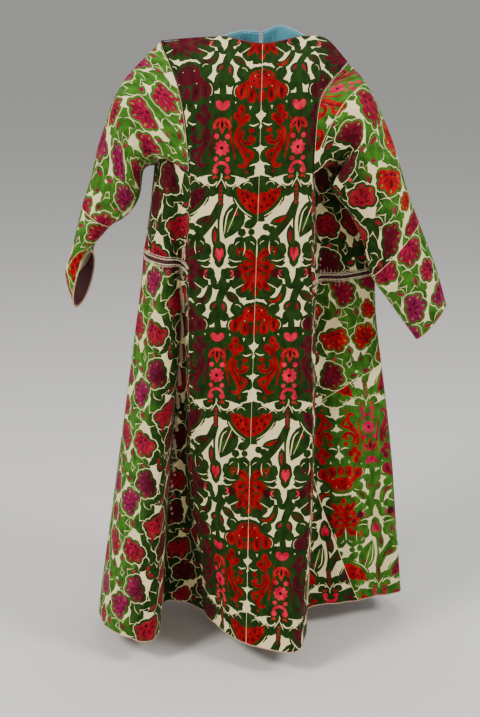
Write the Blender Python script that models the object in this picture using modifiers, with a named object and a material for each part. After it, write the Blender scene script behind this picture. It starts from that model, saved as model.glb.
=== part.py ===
"""A woman's gathered robe of cut velvet, filled out and hollow, open at neck, front, cuffs and hem.

Metres, +Z up. The origin is the middle of the shoulders, where the robe is held. The back faces -Y,
and the wearer's left is -X. The body is five sheets: the back, the two fronts and the two sides.
A sheet is a row of stations from seam to seam, and each station gives the cloth's place at each level.
"""

import math

import bpy
import numpy as np

MM = 0.001
CLOTH = 2.4 * MM
LINING = 1.2 * MM
GAP = 0.3 * MM
SEAM_HALF = 0.25 * MM
SLEEVE_SEAM_HALF = 0.4 * MM
GORE_SEAM_HALF = 0.4 * MM
STRIP_SET_IN = 1.0 * MM
PIPING_RADIUS = 1.3 * MM
EDGE_RADIUS = 1.5 * MM

# Levels down the cloth. A station gives x, y, z at the top and the shoulder blade, then x, y.
TOP, BLADE, CHEST, UNDERARM, WAIST, HIP, KNEE, HEM = range(8)
LEVEL_HEIGHT = {CHEST: -0.12, UNDERARM: -0.25, WAIST: -0.42, HIP: -0.60, KNEE: -0.88, HEM: -1.25}
FRONT_HEM = -1.235

# Columns: station, top, blade, chest, underarm, waist, hip, knee, hem
BACK = (
    ("seam_left", (-.188, .000, .000), (-.163, -.046, -.050), (-.141, -.085), (-.128, -.102),
     (-.133, -.105), (-.135, -.098), (-.133, -.085), (-.112, -.035)),
    ("mid_left", (-.125, -.004, .006), (-.113, -.068, -.042), (-.105, -.100), (-.100, -.113),
     (-.104, -.116), (-.107, -.114), (-.107, -.112), (-.098, -.075)),
    ("neck_left", (-.064, -.012, .009), (-.064, -.085, -.045), (-.062, -.112), (-.062, -.122),
     (-.064, -.122), (-.067, -.122), (-.070, -.132), (-.070, -.120)),
    ("centre", (.014, -.090, -.001), (.013, -.107, -.050), (.011, -.118), (.008, -.125),
     (.003, -.124), (-.002, -.127), (-.010, -.150), (-.018, -.182)),
    ("neck_right", (.098, -.012, .010), (.080, -.085, -.045), (.064, -.112), (.056, -.122),
     (.054, -.124), (.054, -.128), (.050, -.158), (.042, -.210)),
    ("mid_right", (.142, .000, .004), (.115, -.072, -.045), (.098, -.105), (.088, -.115),
     (.088, -.119), (.088, -.124), (.090, -.156), (.080, -.216)),
    ("seam_right", (.185, -.008, -.040), (.148, -.048, -.076), (.122, -.088), (.113, -.106),
     (.114, -.112), (.117, -.118), (.119, -.150), (.100, -.200)),
)
FRONT_LEFT = (
    ("seam", (-.188, .000, .000), (-.160, .035, -.045), (-.146, .060), (-.135, .080),
     (-.165, .095), (-.190, .105), (-.215, .135), (-.240, .180)),
    ("mid", (-.125, -.004, .006), (-.120, .045, -.035), (-.115, .078), (-.105, .100),
     (-.120, .112), (-.135, .128), (-.150, .150), (-.170, .185)),
    ("neck", (-.064, -.012, .009), (-.075, .055, -.030), (-.075, .090), (-.065, .110),
     (-.075, .120), (-.088, .136), (-.105, .160), (-.122, .200)),
    ("throat", (-.030, .040, .015), (-.035, .066, -.030), (-.038, .096), (-.032, .114),
     (-.036, .124), (-.040, .139), (-.050, .165), (-.064, .203)),
    ("centre", (.008, .052, .013), (.008, .072, -.035), (.008, .098), (.004, .116),
     (-.001, .126), (-.004, .141), (-.010, .166), (-.020, .204)),
)
FRONT_RIGHT = (
    ("seam", (.185, -.008, -.040), (.172, .028, -.066), (.160, .054), (.150, .080),
     (.175, .095), (.195, .105), (.215, .135), (.240, .185)),
    ("mid", (.142, .000, .004), (.138, .042, -.038), (.128, .075), (.118, .100),
     (.126, .112), (.138, .128), (.152, .150), (.172, .190)),
    ("neck", (.098, -.012, .010), (.095, .052, -.030), (.086, .088), (.075, .110),
     (.078, .121), (.084, .136), (.098, .160), (.118, .201)),
    ("throat", (.055, .044, .026), (.052, .066, -.028), (.050, .096), (.042, .114),
     (.040, .124), (.040, .139), (.044, .165), (.052, .204)),
    ("centre", (.016, .052, .013), (.016, .072, -.035), (.016, .098), (.012, .116),
     (.007, .126), (.004, .141), (-.002, .166), (-.012, .204)),
)

# Columns: station, underarm (x, y, z), waist, hip, knee, hem. The side sheets hang from the
# armholes, and their first and last stations are the seams of the back and of the front.
LEFT = (
    ("recess", (-.136, -.090, -.245), (-.141, -.081), (-.144, -.065), (-.152, -.040), (-.158, .005)),
    ("valley", (-.144, -.080, -.240), (-.151, -.075), (-.154, -.055), (-.178, -.030), (-.205, .000)),
    ("fold", (-.155, -.075, -.235), (-.161, -.080), (-.158, -.075), (-.185, -.100), (-.207, -.130)),
    ("ridge", (-.171, -.068, -.226), (-.182, -.090), (-.192, -.105), (-.212, -.140), (-.240, -.172)),
    ("side_back", (-.195, -.035, -.234), (-.214, -.050), (-.238, -.055), (-.272, -.088), (-.316, -.118)),
    ("side", (-.205, .010, -.250), (-.228, .010), (-.254, .008), (-.296, .010), (-.352, -.010)),
    ("side_front", (-.180, .055, -.250), (-.210, .060), (-.240, .070), (-.272, .092), (-.320, .120)),
)
RIGHT = (
    ("fold", (.116, -.085, -.250), (.122, -.085), (.126, -.085), (.127, -.110), (.116, -.130)),
    ("recess", (.122, -.045, -.250), (.134, -.045), (.132, -.035), (.131, -.035), (.125, -.025)),
    ("side_back", (.145, -.005, -.250), (.185, -.045), (.190, -.035), (.207, -.020), (.226, .010)),
    ("side", (.168, .030, -.250), (.240, .000), (.263, .010), (.303, .025), (.340, .060)),
    ("side_front", (.163, .062, -.250), (.220, .060), (.240, .080), (.275, .105), (.312, .150)),
)

# Where the cloth is gathered across each side: level at the back seam, the middle, the front seam.
GATHER_LEVEL = {"left": (4.16, 4.06, 4.10), "right": (4.35, 4.31, 4.25)}
STRIP_HALF = 0.03

# The right side is pieced: a sagging seam, then a gore beside the back seam.
PIECING_LEVEL = (5.86, 5.62, 5.32, 5.26)
# The gore's slanting seam: levels, and the station at each.
GORE_LEVELS = (5.94, 6.12, 6.52, 7)
GORE_STATIONS = (0.30, 2.00, 2.60, 3.12)

# Columns: section, outer end, inner end, half of the depth towards the back
LEFT_SLEEVE = (
    ("armpit", (-.267, -.010, -.084), (-.227, -.010, -.258), (.000, -.074, .000)),
    ("upper_arm", (-.315, -.010, -.196), (-.237, -.015, -.312), (.000, -.062, .000)),
    ("elbow", (-.338, -.010, -.278), (-.262, -.018, -.348), (.000, -.052, .000)),
    ("extension", (-.356, -.012, -.331), (-.297, -.020, -.371), (.000, -.045, .000)),
    ("forearm", (-.378, -.015, -.416), (-.325, -.020, -.403), (-.003, -.038, .000)),
    ("wrist", (-.393, -.018, -.474), (-.336, -.020, -.416), (-.008, -.033, .006)),
    ("cuff", (-.377, -.020, -.543), (-.338, -.020, -.424), (-.012, -.030, .010)),
)
RIGHT_SLEEVE = (
    ("piecing", (.225, -.016, -.086), (.176, -.016, -.250), (.000, -.080, .000)),
    ("upper_arm", (.270, -.042, -.177), (.151, -.062, -.280), (.000, -.062, .000)),
    ("above_elbow", (.303, -.055, -.274), (.192, -.072, -.337), (.000, -.049, .000)),
    ("elbow", (.318, -.060, -.316), (.223, -.072, -.403), (.000, -.045, .000)),
    ("extension", (.334, -.060, -.355), (.239, -.070, -.465), (.000, -.042, .000)),
    ("forearm", (.374, -.055, -.452), (.285, -.060, -.530), (.000, -.038, .000)),
    ("cuff", (.399, -.050, -.528), (.338, -.050, -.604), (.000, -.034, .000)),
)
# The stations of a side sheet between which the underside of the sleeve is sewn.
UNDER_SLEEVE = {"left": (4, 7), "right": (0, 6)}
RING = 18
SLEEVE_SET_OUT = 3.0 * MM
HEAD_COLUMNS = 5
HEAD_DEPTH = 1.0
HEAD_TIP = 0.12
FACING_STOPS = (6.4, 6.85)
FACING_SHRINK = 0.78


# ---------------------------------------------------------------- curves and sheets

def spline(knots, at):
    """The smooth curve through the knots, which are at 0, 1, 2 and so on."""
    last = len(knots) - 1
    first = min(max(int(math.floor(at)), 0), last - 1)
    b, c = knots[first], knots[first + 1]
    a = knots[first - 1] if first > 0 else 2 * b - c
    d = knots[first + 2] if first + 2 <= last else 2 * c - b
    t = at - first
    return 0.5 * (2 * b + (c - a) * t + (2 * a - 5 * b + 4 * c - d) * t**2
                  + (3 * b - a - 3 * c + d) * t**3)


def full_column(row, hem):
    heights = dict(LEVEL_HEIGHT)
    heights[HEM] = hem
    flat = [(*row[level + 1], heights[level]) for level in range(CHEST, HEM + 1)]
    return np.array([row[1], row[2], *flat])


def side_column(row):
    """A column of a side sheet. The two rows above the underarm only carry on its slope."""
    below = np.array([row[1]] + [(*row[i + 2], LEVEL_HEIGHT[WAIST + i]) for i in range(4)])
    step = below[0] - below[1]
    return np.vstack([below[0] + 3 * step, below[0] + 2 * step, below[0] + step, below])


def build_sheets():
    sheets = {
        "back": [full_column(row, LEVEL_HEIGHT[HEM]) for row in BACK],
        "front_left": [full_column(row, FRONT_HEM) for row in FRONT_LEFT],
        "front_right": [full_column(row, FRONT_HEM) for row in FRONT_RIGHT],
    }
    for name, rows, seam in (("left", LEFT, 0), ("right", RIGHT, -1)):
        middle = [side_column(row) for row in rows]
        sheets[name] = [sheets["back"][seam], *middle, sheets["front_" + name][0]]
    return {name: np.array(columns) for name, columns in sheets.items()}


SHEETS = build_sheets()
LAST = {name: len(columns) - 1 for name, columns in SHEETS.items()}
NECK = {"front_left": 2, "front_right": 2}
OUTWARD = {"back": 1, "left": -1, "right": 1, "front_left": -1, "front_right": 1}
CENTRE_BACK = 3
SHOULDER_STATIONS = 2
STRIP = 0.10


def across(points, corners, at):
    """The curve through a level's points, with a corner at each station in corners."""
    for start, end in zip((0, *corners), (*corners, len(points) - 1)):
        if at <= end:
            return spline(points[start:end + 1], at - start)
    return spline(points[start:], at - start)


def sheet_point(sheet, u, v):
    """The cloth's middle at station u and level v."""
    columns = SHEETS[sheet]
    first = max(int(u) - 1, 0)
    level = [spline(column, v) for column in columns]
    smooth = spline(np.array(level), u)
    if v >= 1 or sheet in ("left", "right"):
        return smooth
    corners = (2, 4) if sheet == "back" else (NECK[sheet],)
    return v * smooth + (1 - v) * across(np.array(level), corners, u)


def always(values):
    return lambda _: values


# A seam where two sheets meet: each one's name, its station there, and the way into it.
SEAMS = {
    ("back", 0): ("left", 0, 1),
    ("back", 6): ("right", 0, 1),
    ("left", 0): ("back", 0, 1),
    ("right", 0): ("back", 6, -1),
    ("left", LAST["left"]): ("front_left", 0, 1),
    ("right", LAST["right"]): ("front_right", 0, 1),
    ("front_left", 0): ("left", LAST["left"], -1),
    ("front_right", 0): ("right", LAST["right"], -1),
}


def seam_point(sheet, u, v, inward):
    """A point of a seam, on the flat strip that joins the two pieces there."""
    ours = sheet_point(sheet, u + inward * STRIP, v)
    other, station, way = SEAMS.get((sheet, u), (sheet, u, -inward))
    theirs = sheet_point(other, station + way * STRIP, v)
    return (ours + theirs) / 2


def shoulder_point(sheet, u):
    """A point of the shoulder seam, between the back and a front."""
    if sheet == "back":
        other = "front_left" if u <= SHOULDER_STATIONS else "front_right"
        twin = u if u <= SHOULDER_STATIONS else LAST["back"] - u
    else:
        other, twin = "back", u if sheet == "front_left" else LAST["back"] - u
    return (sheet_point(sheet, u, STRIP) + sheet_point(other, twin, STRIP)) / 2


def on_shoulder(sheet, u):
    if sheet == "back":
        return u <= SHOULDER_STATIONS or u >= LAST["back"] - SHOULDER_STATIONS
    return u <= SHOULDER_STATIONS


def lerp(a, b, t):
    return a + (b - a) * t


def pull_in(edge, neighbour, distance):
    way = neighbour - edge
    return edge + way * (distance / np.linalg.norm(way, axis=-1, keepdims=True))


def patch(sheet, stations, levels, sewn="", gap=SEAM_HALF):
    """A grid of points on a sheet. stations(b) lists the stations across at each row, from 0 to 1
    down, and levels(a) lists the levels down at each column, from 0 to 1 across.

    sewn names the edges that meet another piece: left, right, top, bottom or shoulder.
    """
    rows = len(levels(0))
    columns = len(stations(0))
    grid = np.zeros((rows, columns, 3))
    for j in range(rows):
        line = stations(j / (rows - 1))
        for i, u in enumerate(line):
            v = levels((u - line[0]) / (line[-1] - line[0]))[j]
            armhole_edge = sheet == "back" and u in (0, LAST["back"]) and v < UNDERARM
            armhole_edge = armhole_edge or (sheet in NECK and u == 0 and v < UNDERARM)
            if "shoulder" in sewn and j == 0 and on_shoulder(sheet, u):
                grid[j, i] = shoulder_point(sheet, u)
            elif i == 0 and "left" in sewn and not armhole_edge:
                grid[j, i] = seam_point(sheet, u, v, 1)
            elif i == columns - 1 and "right" in sewn and not armhole_edge:
                grid[j, i] = seam_point(sheet, u, v, -1)
            else:
                grid[j, i] = sheet_point(sheet, u, v)
    if "left" in sewn:
        grid[:, 0] = pull_in(grid[:, 0], grid[:, 1], gap)
    if "right" in sewn:
        grid[:, -1] = pull_in(grid[:, -1], grid[:, -2], gap)
    if "top" in sewn or "shoulder" in sewn:
        grid[0] = pull_in(grid[0], grid[1], gap)
    if "bottom" in sewn:
        grid[-1] = pull_in(grid[-1], grid[-2], gap)
    return grid


def spread(start, end, count):
    """Stations from seam to seam, with one at the edge of each seam's flat strip."""
    return [start, start + STRIP, *np.linspace(start, end, count + 1)[1:-1], end - STRIP, end]


def moved_out(grid, distance, sheet):
    """The grid's points moved along the cloth's normals, away from the wearer."""
    down = np.gradient(grid, axis=0)
    along = np.gradient(grid, axis=1)
    normals = np.cross(down, along) * OUTWARD[sheet]
    return grid + normals * (distance / np.linalg.norm(normals, axis=2, keepdims=True))


# ---------------------------------------------------------------- sleeves

def even(points, count):
    """count points evenly spaced along a line of points, without its last one."""
    points = np.asarray(points)
    lengths = np.linalg.norm(np.diff(points, axis=0), axis=1)
    travelled = np.concatenate([[0], np.cumsum(lengths)])
    stops = np.linspace(0, travelled[-1], count + 1)[:-1]
    return np.stack([np.interp(stops, travelled, points[:, k]) for k in range(3)], axis=1)


def armhole(side, count):
    """The armhole from the shoulder down the back seam, under the arm and up the front seam."""
    back_station = 0 if side == "left" else LAST["back"]
    front = "front_" + side
    steps = np.linspace(0, 1, 41)
    start, end = UNDER_SLEEVE[side]
    down = [sheet_point("back", back_station, UNDERARM * t) for t in steps]
    down += [sheet_point(side, start * t, UNDERARM) for t in steps[1:] if start]
    under = [sheet_point(side, lerp(start, end, t), UNDERARM) for t in steps]
    up = [sheet_point(side, lerp(end, LAST[side], t), UNDERARM) for t in steps[:-1] if end < LAST[side]]
    up += [sheet_point(front, 0, UNDERARM * (1 - t)) for t in steps]
    return np.vstack([even(part, count // 3) for part in (down, under, up)])


def past_edge(ring, before, distance):
    """A ring moved on in the cloth by a distance, square to its own line."""
    line = np.roll(ring, -1, axis=0) - np.roll(ring, 1, axis=0)
    line /= np.linalg.norm(line, axis=1, keepdims=True)
    way = ring - before
    way -= line * (way * line).sum(axis=1, keepdims=True)
    return ring + way * (distance / np.linalg.norm(way, axis=1, keepdims=True))


def sleeve_sections(side, count):
    rows = LEFT_SLEEVE if side == "left" else RIGHT_SLEEVE
    angles = np.linspace(0, 2 * math.pi, count, endpoint=False)
    rings = []
    for _, outer, inner, depth in rows:
        outer, inner, depth = np.array(outer), np.array(inner), np.array(depth)
        centre = (outer + inner) / 2
        reach = outer - centre
        rings.append(centre + np.cos(angles)[:, None] * reach + np.sin(angles)[:, None] * depth)
    start = armhole(side, count)
    start = past_edge(start, rings[0], -SLEEVE_SET_OUT)
    return np.array([start, *rings])


def sleeve_rings(side, stops):
    sections = sleeve_sections(side, RING)
    return np.array([spline(sections, stop) for stop in stops])


def sleeve_tube(side, starts, end, rows, sewn=""):
    """Rings of a sleeve from each column's own start, flat across a seam at a whole section."""
    sections = sleeve_sections(side, RING)
    level_start = np.ptp(starts) == 0
    rings = []
    for j in range(rows + 1):
        rings.append([spline(sections[:, i], lerp(starts[i], end, j / rows)) for i in range(RING)])
    rings = np.array(rings)
    if "top" in sewn and level_start:
        first, second = sleeve_rings(side, (starts[0] - STRIP, starts[0] + STRIP))
        rings = np.array([(first + second) / 2, second, *rings[1:]])
    if "top" in sewn:
        rings[0] = past_edge(rings[0], rings[1], -SLEEVE_SEAM_HALF)
    if "bottom" in sewn:
        second, first = sleeve_rings(side, (end - STRIP, end + STRIP))
        rings = np.array([*rings[:-1], second, (first + second) / 2])
        rings[-1] = past_edge(rings[-1], rings[-2], -SLEEVE_SEAM_HALF)
    return rings


def head_edge(column):
    """The section at which the right sleeve's head piece ends, on this column of the sleeve."""
    away = min(column, RING - column)
    if away > HEAD_COLUMNS:
        return 0
    return lerp(HEAD_DEPTH, HEAD_TIP, away / HEAD_COLUMNS)


def sleeve_head():
    """The piece over the right shoulder, from the armhole to a slanting seam."""
    sections = sleeve_sections("right", RING)
    columns = range(-HEAD_COLUMNS, HEAD_COLUMNS + 1)
    rows = 3
    grid = np.array([[spline(sections[:, i], head_edge(i % RING) * j / rows) for i in columns]
                     for j in range(rows + 1)])
    grid[-1] = pull_in(grid[-1], grid[-2], SLEEVE_SEAM_HALF)
    return grid


# ---------------------------------------------------------------- objects

def material(name, colour, roughness):
    made = bpy.data.materials.new(name)
    made.use_nodes = True
    shader = made.node_tree.nodes["Principled BSDF"]
    shader.inputs["Base Color"].default_value = (*colour, 1)
    shader.inputs["Roughness"].default_value = roughness
    shader.inputs["Metallic"].default_value = 0
    return made


VELVET = (0.055, 0.10, 0.022)
VELVET_RED = (0.28, 0.018, 0.022)
CREAM = (0.72, 0.62, 0.46)
TURQUOISE = (0.22, 0.50, 0.60)
DARK_RED = (0.10, 0.008, 0.012)
PALE_CORD = (0.72, 0.52, 0.42)


def wall(name, grid, thickness, colour, closed=False):
    """A cloth wall: the grid as an open surface, given its thickness on both sides."""
    rows, columns = grid.shape[:2]
    across_count = columns if closed else columns - 1
    faces = []
    for j in range(rows - 1):
        for i in range(across_count):
            k = (i + 1) % columns
            faces.append((j * columns + i, j * columns + k, (j + 1) * columns + k, (j + 1) * columns + i))
    mesh = bpy.data.meshes.new(name)
    mesh.from_pydata(grid.reshape(-1, 3).tolist(), [], faces)
    mesh.shade_smooth()
    placed = bpy.data.objects.new(name, mesh)
    robe.objects.link(placed)
    mesh.materials.append(material(name, colour, 0.85))
    solidify = placed.modifiers.new("cloth thickness", "SOLIDIFY")
    solidify.thickness = thickness
    solidify.offset = 0
    return placed


def cord(name, points, radius, colour, cyclic=False):
    curve = bpy.data.curves.new(name, "CURVE")
    curve.dimensions = "3D"
    curve.bevel_depth = radius
    curve.bevel_resolution = 0
    curve.use_fill_caps = not cyclic
    line = curve.splines.new("POLY")
    line.points.add(len(points) - 1)
    for spot, place in zip(line.points, points):
        spot.co = (*place, 1)
    line.use_cyclic_u = cyclic
    placed = bpy.data.objects.new(name, curve)
    robe.objects.link(placed)
    curve.materials.append(material(name, colour, 0.7))
    return placed


def make_back():
    half = (0, STRIP, 0.5, 1, 1.5, 2, 2.5, CENTRE_BACK - STRIP, CENTRE_BACK)
    other_half = [LAST["back"] - u for u in reversed(half)]
    levels = (TOP, STRIP, *np.linspace(TOP, HEM, 22)[1:])
    for name, stations in (("back_left", half), ("back_right", other_half)):
        grid = patch("back", always(stations), always(levels), "left right shoulder")
        wall(name, grid, CLOTH, VELVET_RED)


def make_fronts():
    stations = (0, STRIP, 0.5, 1, 1.5, 2, 2.5, 3, 4)
    levels = (TOP, STRIP, 0.33, 0.66, 1, 1.5, 2, 2.5, 3, 3.33, 3.66, 4, 4.5, 5, 5.5, 6, 6.5, HEM)
    lined = slice(0, 5), slice(6, None)
    for side in ("left", "right"):
        sheet = "front_" + side
        grid = patch(sheet, always(stations), always(levels), "left shoulder")
        wall(sheet, grid, CLOTH, VELVET)
        inside = moved_out(grid, -(CLOTH / 2 + 2 * GAP + LINING / 2), sheet)
        wall("lining_" + side, inside[lined], LINING, TURQUOISE)


def gather_level(side, a):
    return float(spline(np.array(GATHER_LEVEL[side]), 2 * a))


def piecing_level(a):
    return float(spline(np.array(PIECING_LEVEL), 3 * a))


def make_sides():
    for side, count in (("left", 16), ("right", 12)):
        stations = spread(0, LAST[side], count)

        def above(a, side=side):
            return gather_level(side, a) - STRIP_HALF

        def below(a, side=side):
            return gather_level(side, a) + STRIP_HALF

        top = patch(side, always(stations), lambda a: np.linspace(UNDERARM, above(a), 5),
                    "left right bottom")
        wall(side + "_side_top", top, CLOTH, VELVET)
        strip = patch(side, always(stations), lambda a: (above(a), below(a)), "left right")
        make_pipings(side, strip)
        strip[0] = pull_in(strip[0], strip[1], STRIP_SET_IN)
        strip[1] = pull_in(strip[1], strip[0], STRIP_SET_IN)
        wall(side + "_gather_strip", strip, CLOTH, DARK_RED)
        if side == "left":
            skirt = patch(side, always(stations), lambda a: np.linspace(below(a), HEM, 11),
                          "left right top")
            wall("left_skirt", skirt, CLOTH, VELVET)
        else:
            make_right_skirt(below, stations)


def make_pipings(side, strip):
    lift = CLOTH / 2 + 2 * GAP + PIPING_RADIUS
    lines = moved_out(strip, lift, side)
    for name, line in (("upper", lines[0]), ("lower", lines[1])):
        cord(f"{side}_piping_{name}", line[1:-1], PIPING_RADIUS, CREAM)


def gore_edge(v):
    """The station of the gore's slanting seam at level v."""
    return float(np.interp(v, GORE_LEVELS, GORE_STATIONS, left=0))


def make_right_skirt(below, stations):
    upper = patch("right", always(stations), lambda a: np.linspace(below(a), piecing_level(a), 5),
                  "left right top bottom", GORE_SEAM_HALF)
    wall("right_skirt_top", upper, CLOTH, VELVET)
    last = LAST["right"]
    beside_gore = np.linspace(GORE_LEVELS[0], HEM, 9)
    edge_levels = [piecing_level(0), GORE_LEVELS[0] - 0.04, *beside_gore]
    rows = len(edge_levels)

    def skirt_stations(b):
        return spread(gore_edge(edge_levels[round(b * (rows - 1))]), last, len(stations) - 3)

    def skirt_levels(a):
        first, start = edge_levels[0], piecing_level(a)
        return [lerp(start, HEM, (level - first) / (HEM - first)) for level in edge_levels]

    skirt = patch("right", skirt_stations, skirt_levels, "left right top", GORE_SEAM_HALF)
    wall("right_skirt", skirt, CLOTH, VELVET)

    def gore_stations(b):
        return spread(0, gore_edge(lerp(GORE_LEVELS[0], HEM, b)), 5)

    gore = patch("right", gore_stations, always(beside_gore), "left right top", GORE_SEAM_HALF)
    wall("right_gore", gore, CLOTH, VELVET)


def make_sleeves():
    head = [head_edge(i) for i in range(RING)]
    pieces = (
        ("left", "left_sleeve", [0] * RING, 4, 7, "bottom"),
        ("left", "left_sleeve_end", [4] * RING, 7, 5, "top"),
        ("right", "right_sleeve", head, 5, 9, "top bottom"),
        ("right", "right_sleeve_end", [5] * RING, 7, 3, "top"),
    )
    for side, name, starts, end, rows, sewn in pieces:
        wall(name, sleeve_tube(side, starts, end, rows, sewn), CLOTH, VELVET, closed=True)
    wall("right_sleeve_head", sleeve_head(), CLOTH, VELVET)
    for side in ("left", "right"):
        before, cuff = sleeve_rings(side, (6.8, 7))
        beyond = past_edge(cuff, before, EDGE_RADIUS + 3 * GAP)
        cord(side + "_cuff_edging", beyond, EDGE_RADIUS, PALE_CORD, cyclic=True)
    rings = sleeve_rings("left", FACING_STOPS)
    centres = rings.mean(axis=1, keepdims=True)
    facing = centres + (rings - centres) * FACING_SHRINK
    wall("left_cuff_facing", facing, LINING, VELVET_RED, closed=True)


def edge_line(stretches, level, clear):
    """Points just beyond an edge of the sheets, along stretches of sheet, first and last station."""
    line = []
    for sheet, start, end, steps in stretches:
        for u in np.linspace(start, end, steps + 1):
            edge = sheet_point(sheet, u, level)
            inside = sheet_point(sheet, u, abs(level - 0.05))
            place = pull_in(edge, inside, -clear)
            if not line or np.linalg.norm(place - line[-1]) > 3 * EDGE_RADIUS:
                line.append(place)
    return line


def make_edgings():
    neck = edge_line((("front_left", 4, 2, 8), ("back", 2, 4, 14), ("front_right", 2, 4, 8)),
                     TOP, EDGE_RADIUS + 4 * GAP)
    cord("neck_edging", neck, EDGE_RADIUS, DARK_RED)
    hem = edge_line((("front_left", 4, 0.1, 8), ("left", LAST["left"] - 0.1, 0.1, 34),
                     ("back", 0.1, LAST["back"] - 0.1, 22), ("right", 0.1, LAST["right"] - 0.1, 24),
                     ("front_right", 0.1, 4, 8)),
                    HEM, EDGE_RADIUS + 3 * GAP)
    cord("hem_edging", hem, EDGE_RADIUS, PALE_CORD)


for old in list(bpy.data.objects):
    bpy.data.objects.remove(old)
robe = bpy.data.collections.new("gathered_robe")
bpy.context.scene.collection.children.link(robe)
make_back()
make_fronts()
make_sides()
make_sleeves()
make_edgings()
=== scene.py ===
"""A woman's gathered robe of figured cut velvet: its cloth, linings, cords and creases.

The body is five sheets, as in the solid model: the back, two fronts and two sides. Each sheet gets
flat cloth coordinates, s across and t down, in metres. The woven figures are drawn in those
coordinates, clipped to each cut piece, and laid on the sheet. Every piece has its outer face with
the figures, a plain reverse and an edge between them.
"""

import math

import bpy
import numpy as np
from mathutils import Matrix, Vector
from mathutils.geometry import delaunay_2d_cdt


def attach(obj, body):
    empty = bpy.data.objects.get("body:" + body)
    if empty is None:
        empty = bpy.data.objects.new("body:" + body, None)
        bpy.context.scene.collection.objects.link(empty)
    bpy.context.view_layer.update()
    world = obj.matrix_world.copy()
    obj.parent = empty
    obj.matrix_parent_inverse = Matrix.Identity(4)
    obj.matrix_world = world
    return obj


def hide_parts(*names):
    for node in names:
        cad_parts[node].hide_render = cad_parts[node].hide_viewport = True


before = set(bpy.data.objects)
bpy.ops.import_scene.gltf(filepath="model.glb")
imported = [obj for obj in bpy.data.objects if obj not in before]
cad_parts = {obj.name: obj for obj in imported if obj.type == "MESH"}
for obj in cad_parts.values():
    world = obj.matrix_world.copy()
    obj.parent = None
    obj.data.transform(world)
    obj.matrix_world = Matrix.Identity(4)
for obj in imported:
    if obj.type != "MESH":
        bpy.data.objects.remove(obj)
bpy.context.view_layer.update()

MM = 0.001
CLOTH = 2.0 * MM
# Levels down the cloth. A station gives x, y, z at the top and the shoulder blade, then x, y.
TOP, BLADE, CHEST, UNDERARM, WAIST, HIP, KNEE, HEM = range(8)
LEVEL_HEIGHT = {CHEST: -0.12, UNDERARM: -0.25, WAIST: -0.42, HIP: -0.60, KNEE: -0.88, HEM: -1.25}
FRONT_HEM = -1.235

# Columns: station, top, blade, chest, underarm, waist, hip, knee, hem
BACK = (
    ("seam_left", (-.188, .000, .000), (-.163, -.046, -.050), (-.141, -.085), (-.128, -.102),
     (-.133, -.105), (-.135, -.098), (-.133, -.085), (-.112, -.035)),
    ("mid_left", (-.125, -.004, .006), (-.113, -.068, -.042), (-.105, -.100), (-.100, -.113),
     (-.104, -.116), (-.107, -.114), (-.107, -.112), (-.098, -.075)),
    ("neck_left", (-.064, -.012, .009), (-.064, -.085, -.045), (-.062, -.112), (-.062, -.122),
     (-.064, -.122), (-.067, -.122), (-.070, -.132), (-.070, -.120)),
    ("centre", (.014, -.090, -.001), (.013, -.107, -.050), (.011, -.118), (.008, -.125),
     (.003, -.124), (-.002, -.127), (-.010, -.150), (-.018, -.182)),
    ("neck_right", (.098, -.012, .010), (.080, -.085, -.045), (.064, -.112), (.056, -.122),
     (.054, -.124), (.054, -.128), (.050, -.158), (.042, -.210)),
    ("mid_right", (.142, .000, .004), (.115, -.072, -.045), (.098, -.105), (.088, -.115),
     (.088, -.119), (.088, -.124), (.090, -.156), (.080, -.216)),
    ("seam_right", (.185, -.008, -.040), (.148, -.048, -.076), (.122, -.088), (.113, -.106),
     (.114, -.112), (.117, -.118), (.119, -.150), (.100, -.200)),
)
FRONT_LEFT = (
    ("seam", (-.188, .000, .000), (-.160, .035, -.045), (-.146, .060), (-.135, .080),
     (-.165, .095), (-.190, .105), (-.215, .135), (-.240, .180)),
    ("mid", (-.125, -.004, .006), (-.120, .045, -.035), (-.115, .078), (-.105, .100),
     (-.120, .112), (-.135, .128), (-.150, .150), (-.170, .185)),
    ("neck", (-.064, -.012, .009), (-.075, .055, -.030), (-.075, .090), (-.065, .110),
     (-.075, .120), (-.088, .136), (-.105, .160), (-.122, .200)),
    ("throat", (-.030, .040, .015), (-.035, .066, -.030), (-.038, .096), (-.032, .114),
     (-.036, .124), (-.040, .139), (-.050, .165), (-.064, .203)),
    ("centre", (.008, .052, .013), (.008, .072, -.035), (.008, .098), (.004, .116),
     (-.001, .126), (-.004, .141), (-.010, .166), (-.020, .204)),
)
FRONT_RIGHT = (
    ("seam", (.185, -.008, -.040), (.172, .028, -.066), (.160, .054), (.150, .080),
     (.175, .095), (.195, .105), (.215, .135), (.240, .185)),
    ("mid", (.142, .000, .004), (.138, .042, -.038), (.128, .075), (.118, .100),
     (.126, .112), (.138, .128), (.152, .150), (.172, .190)),
    ("neck", (.098, -.012, .010), (.095, .052, -.030), (.086, .088), (.075, .110),
     (.078, .121), (.084, .136), (.098, .160), (.118, .201)),
    ("throat", (.055, .044, .026), (.052, .066, -.028), (.050, .096), (.042, .114),
     (.040, .124), (.040, .139), (.044, .165), (.052, .204)),
    ("centre", (.016, .052, .013), (.016, .072, -.035), (.016, .098), (.012, .116),
     (.007, .126), (.004, .141), (-.002, .166), (-.012, .204)),
)

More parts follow.
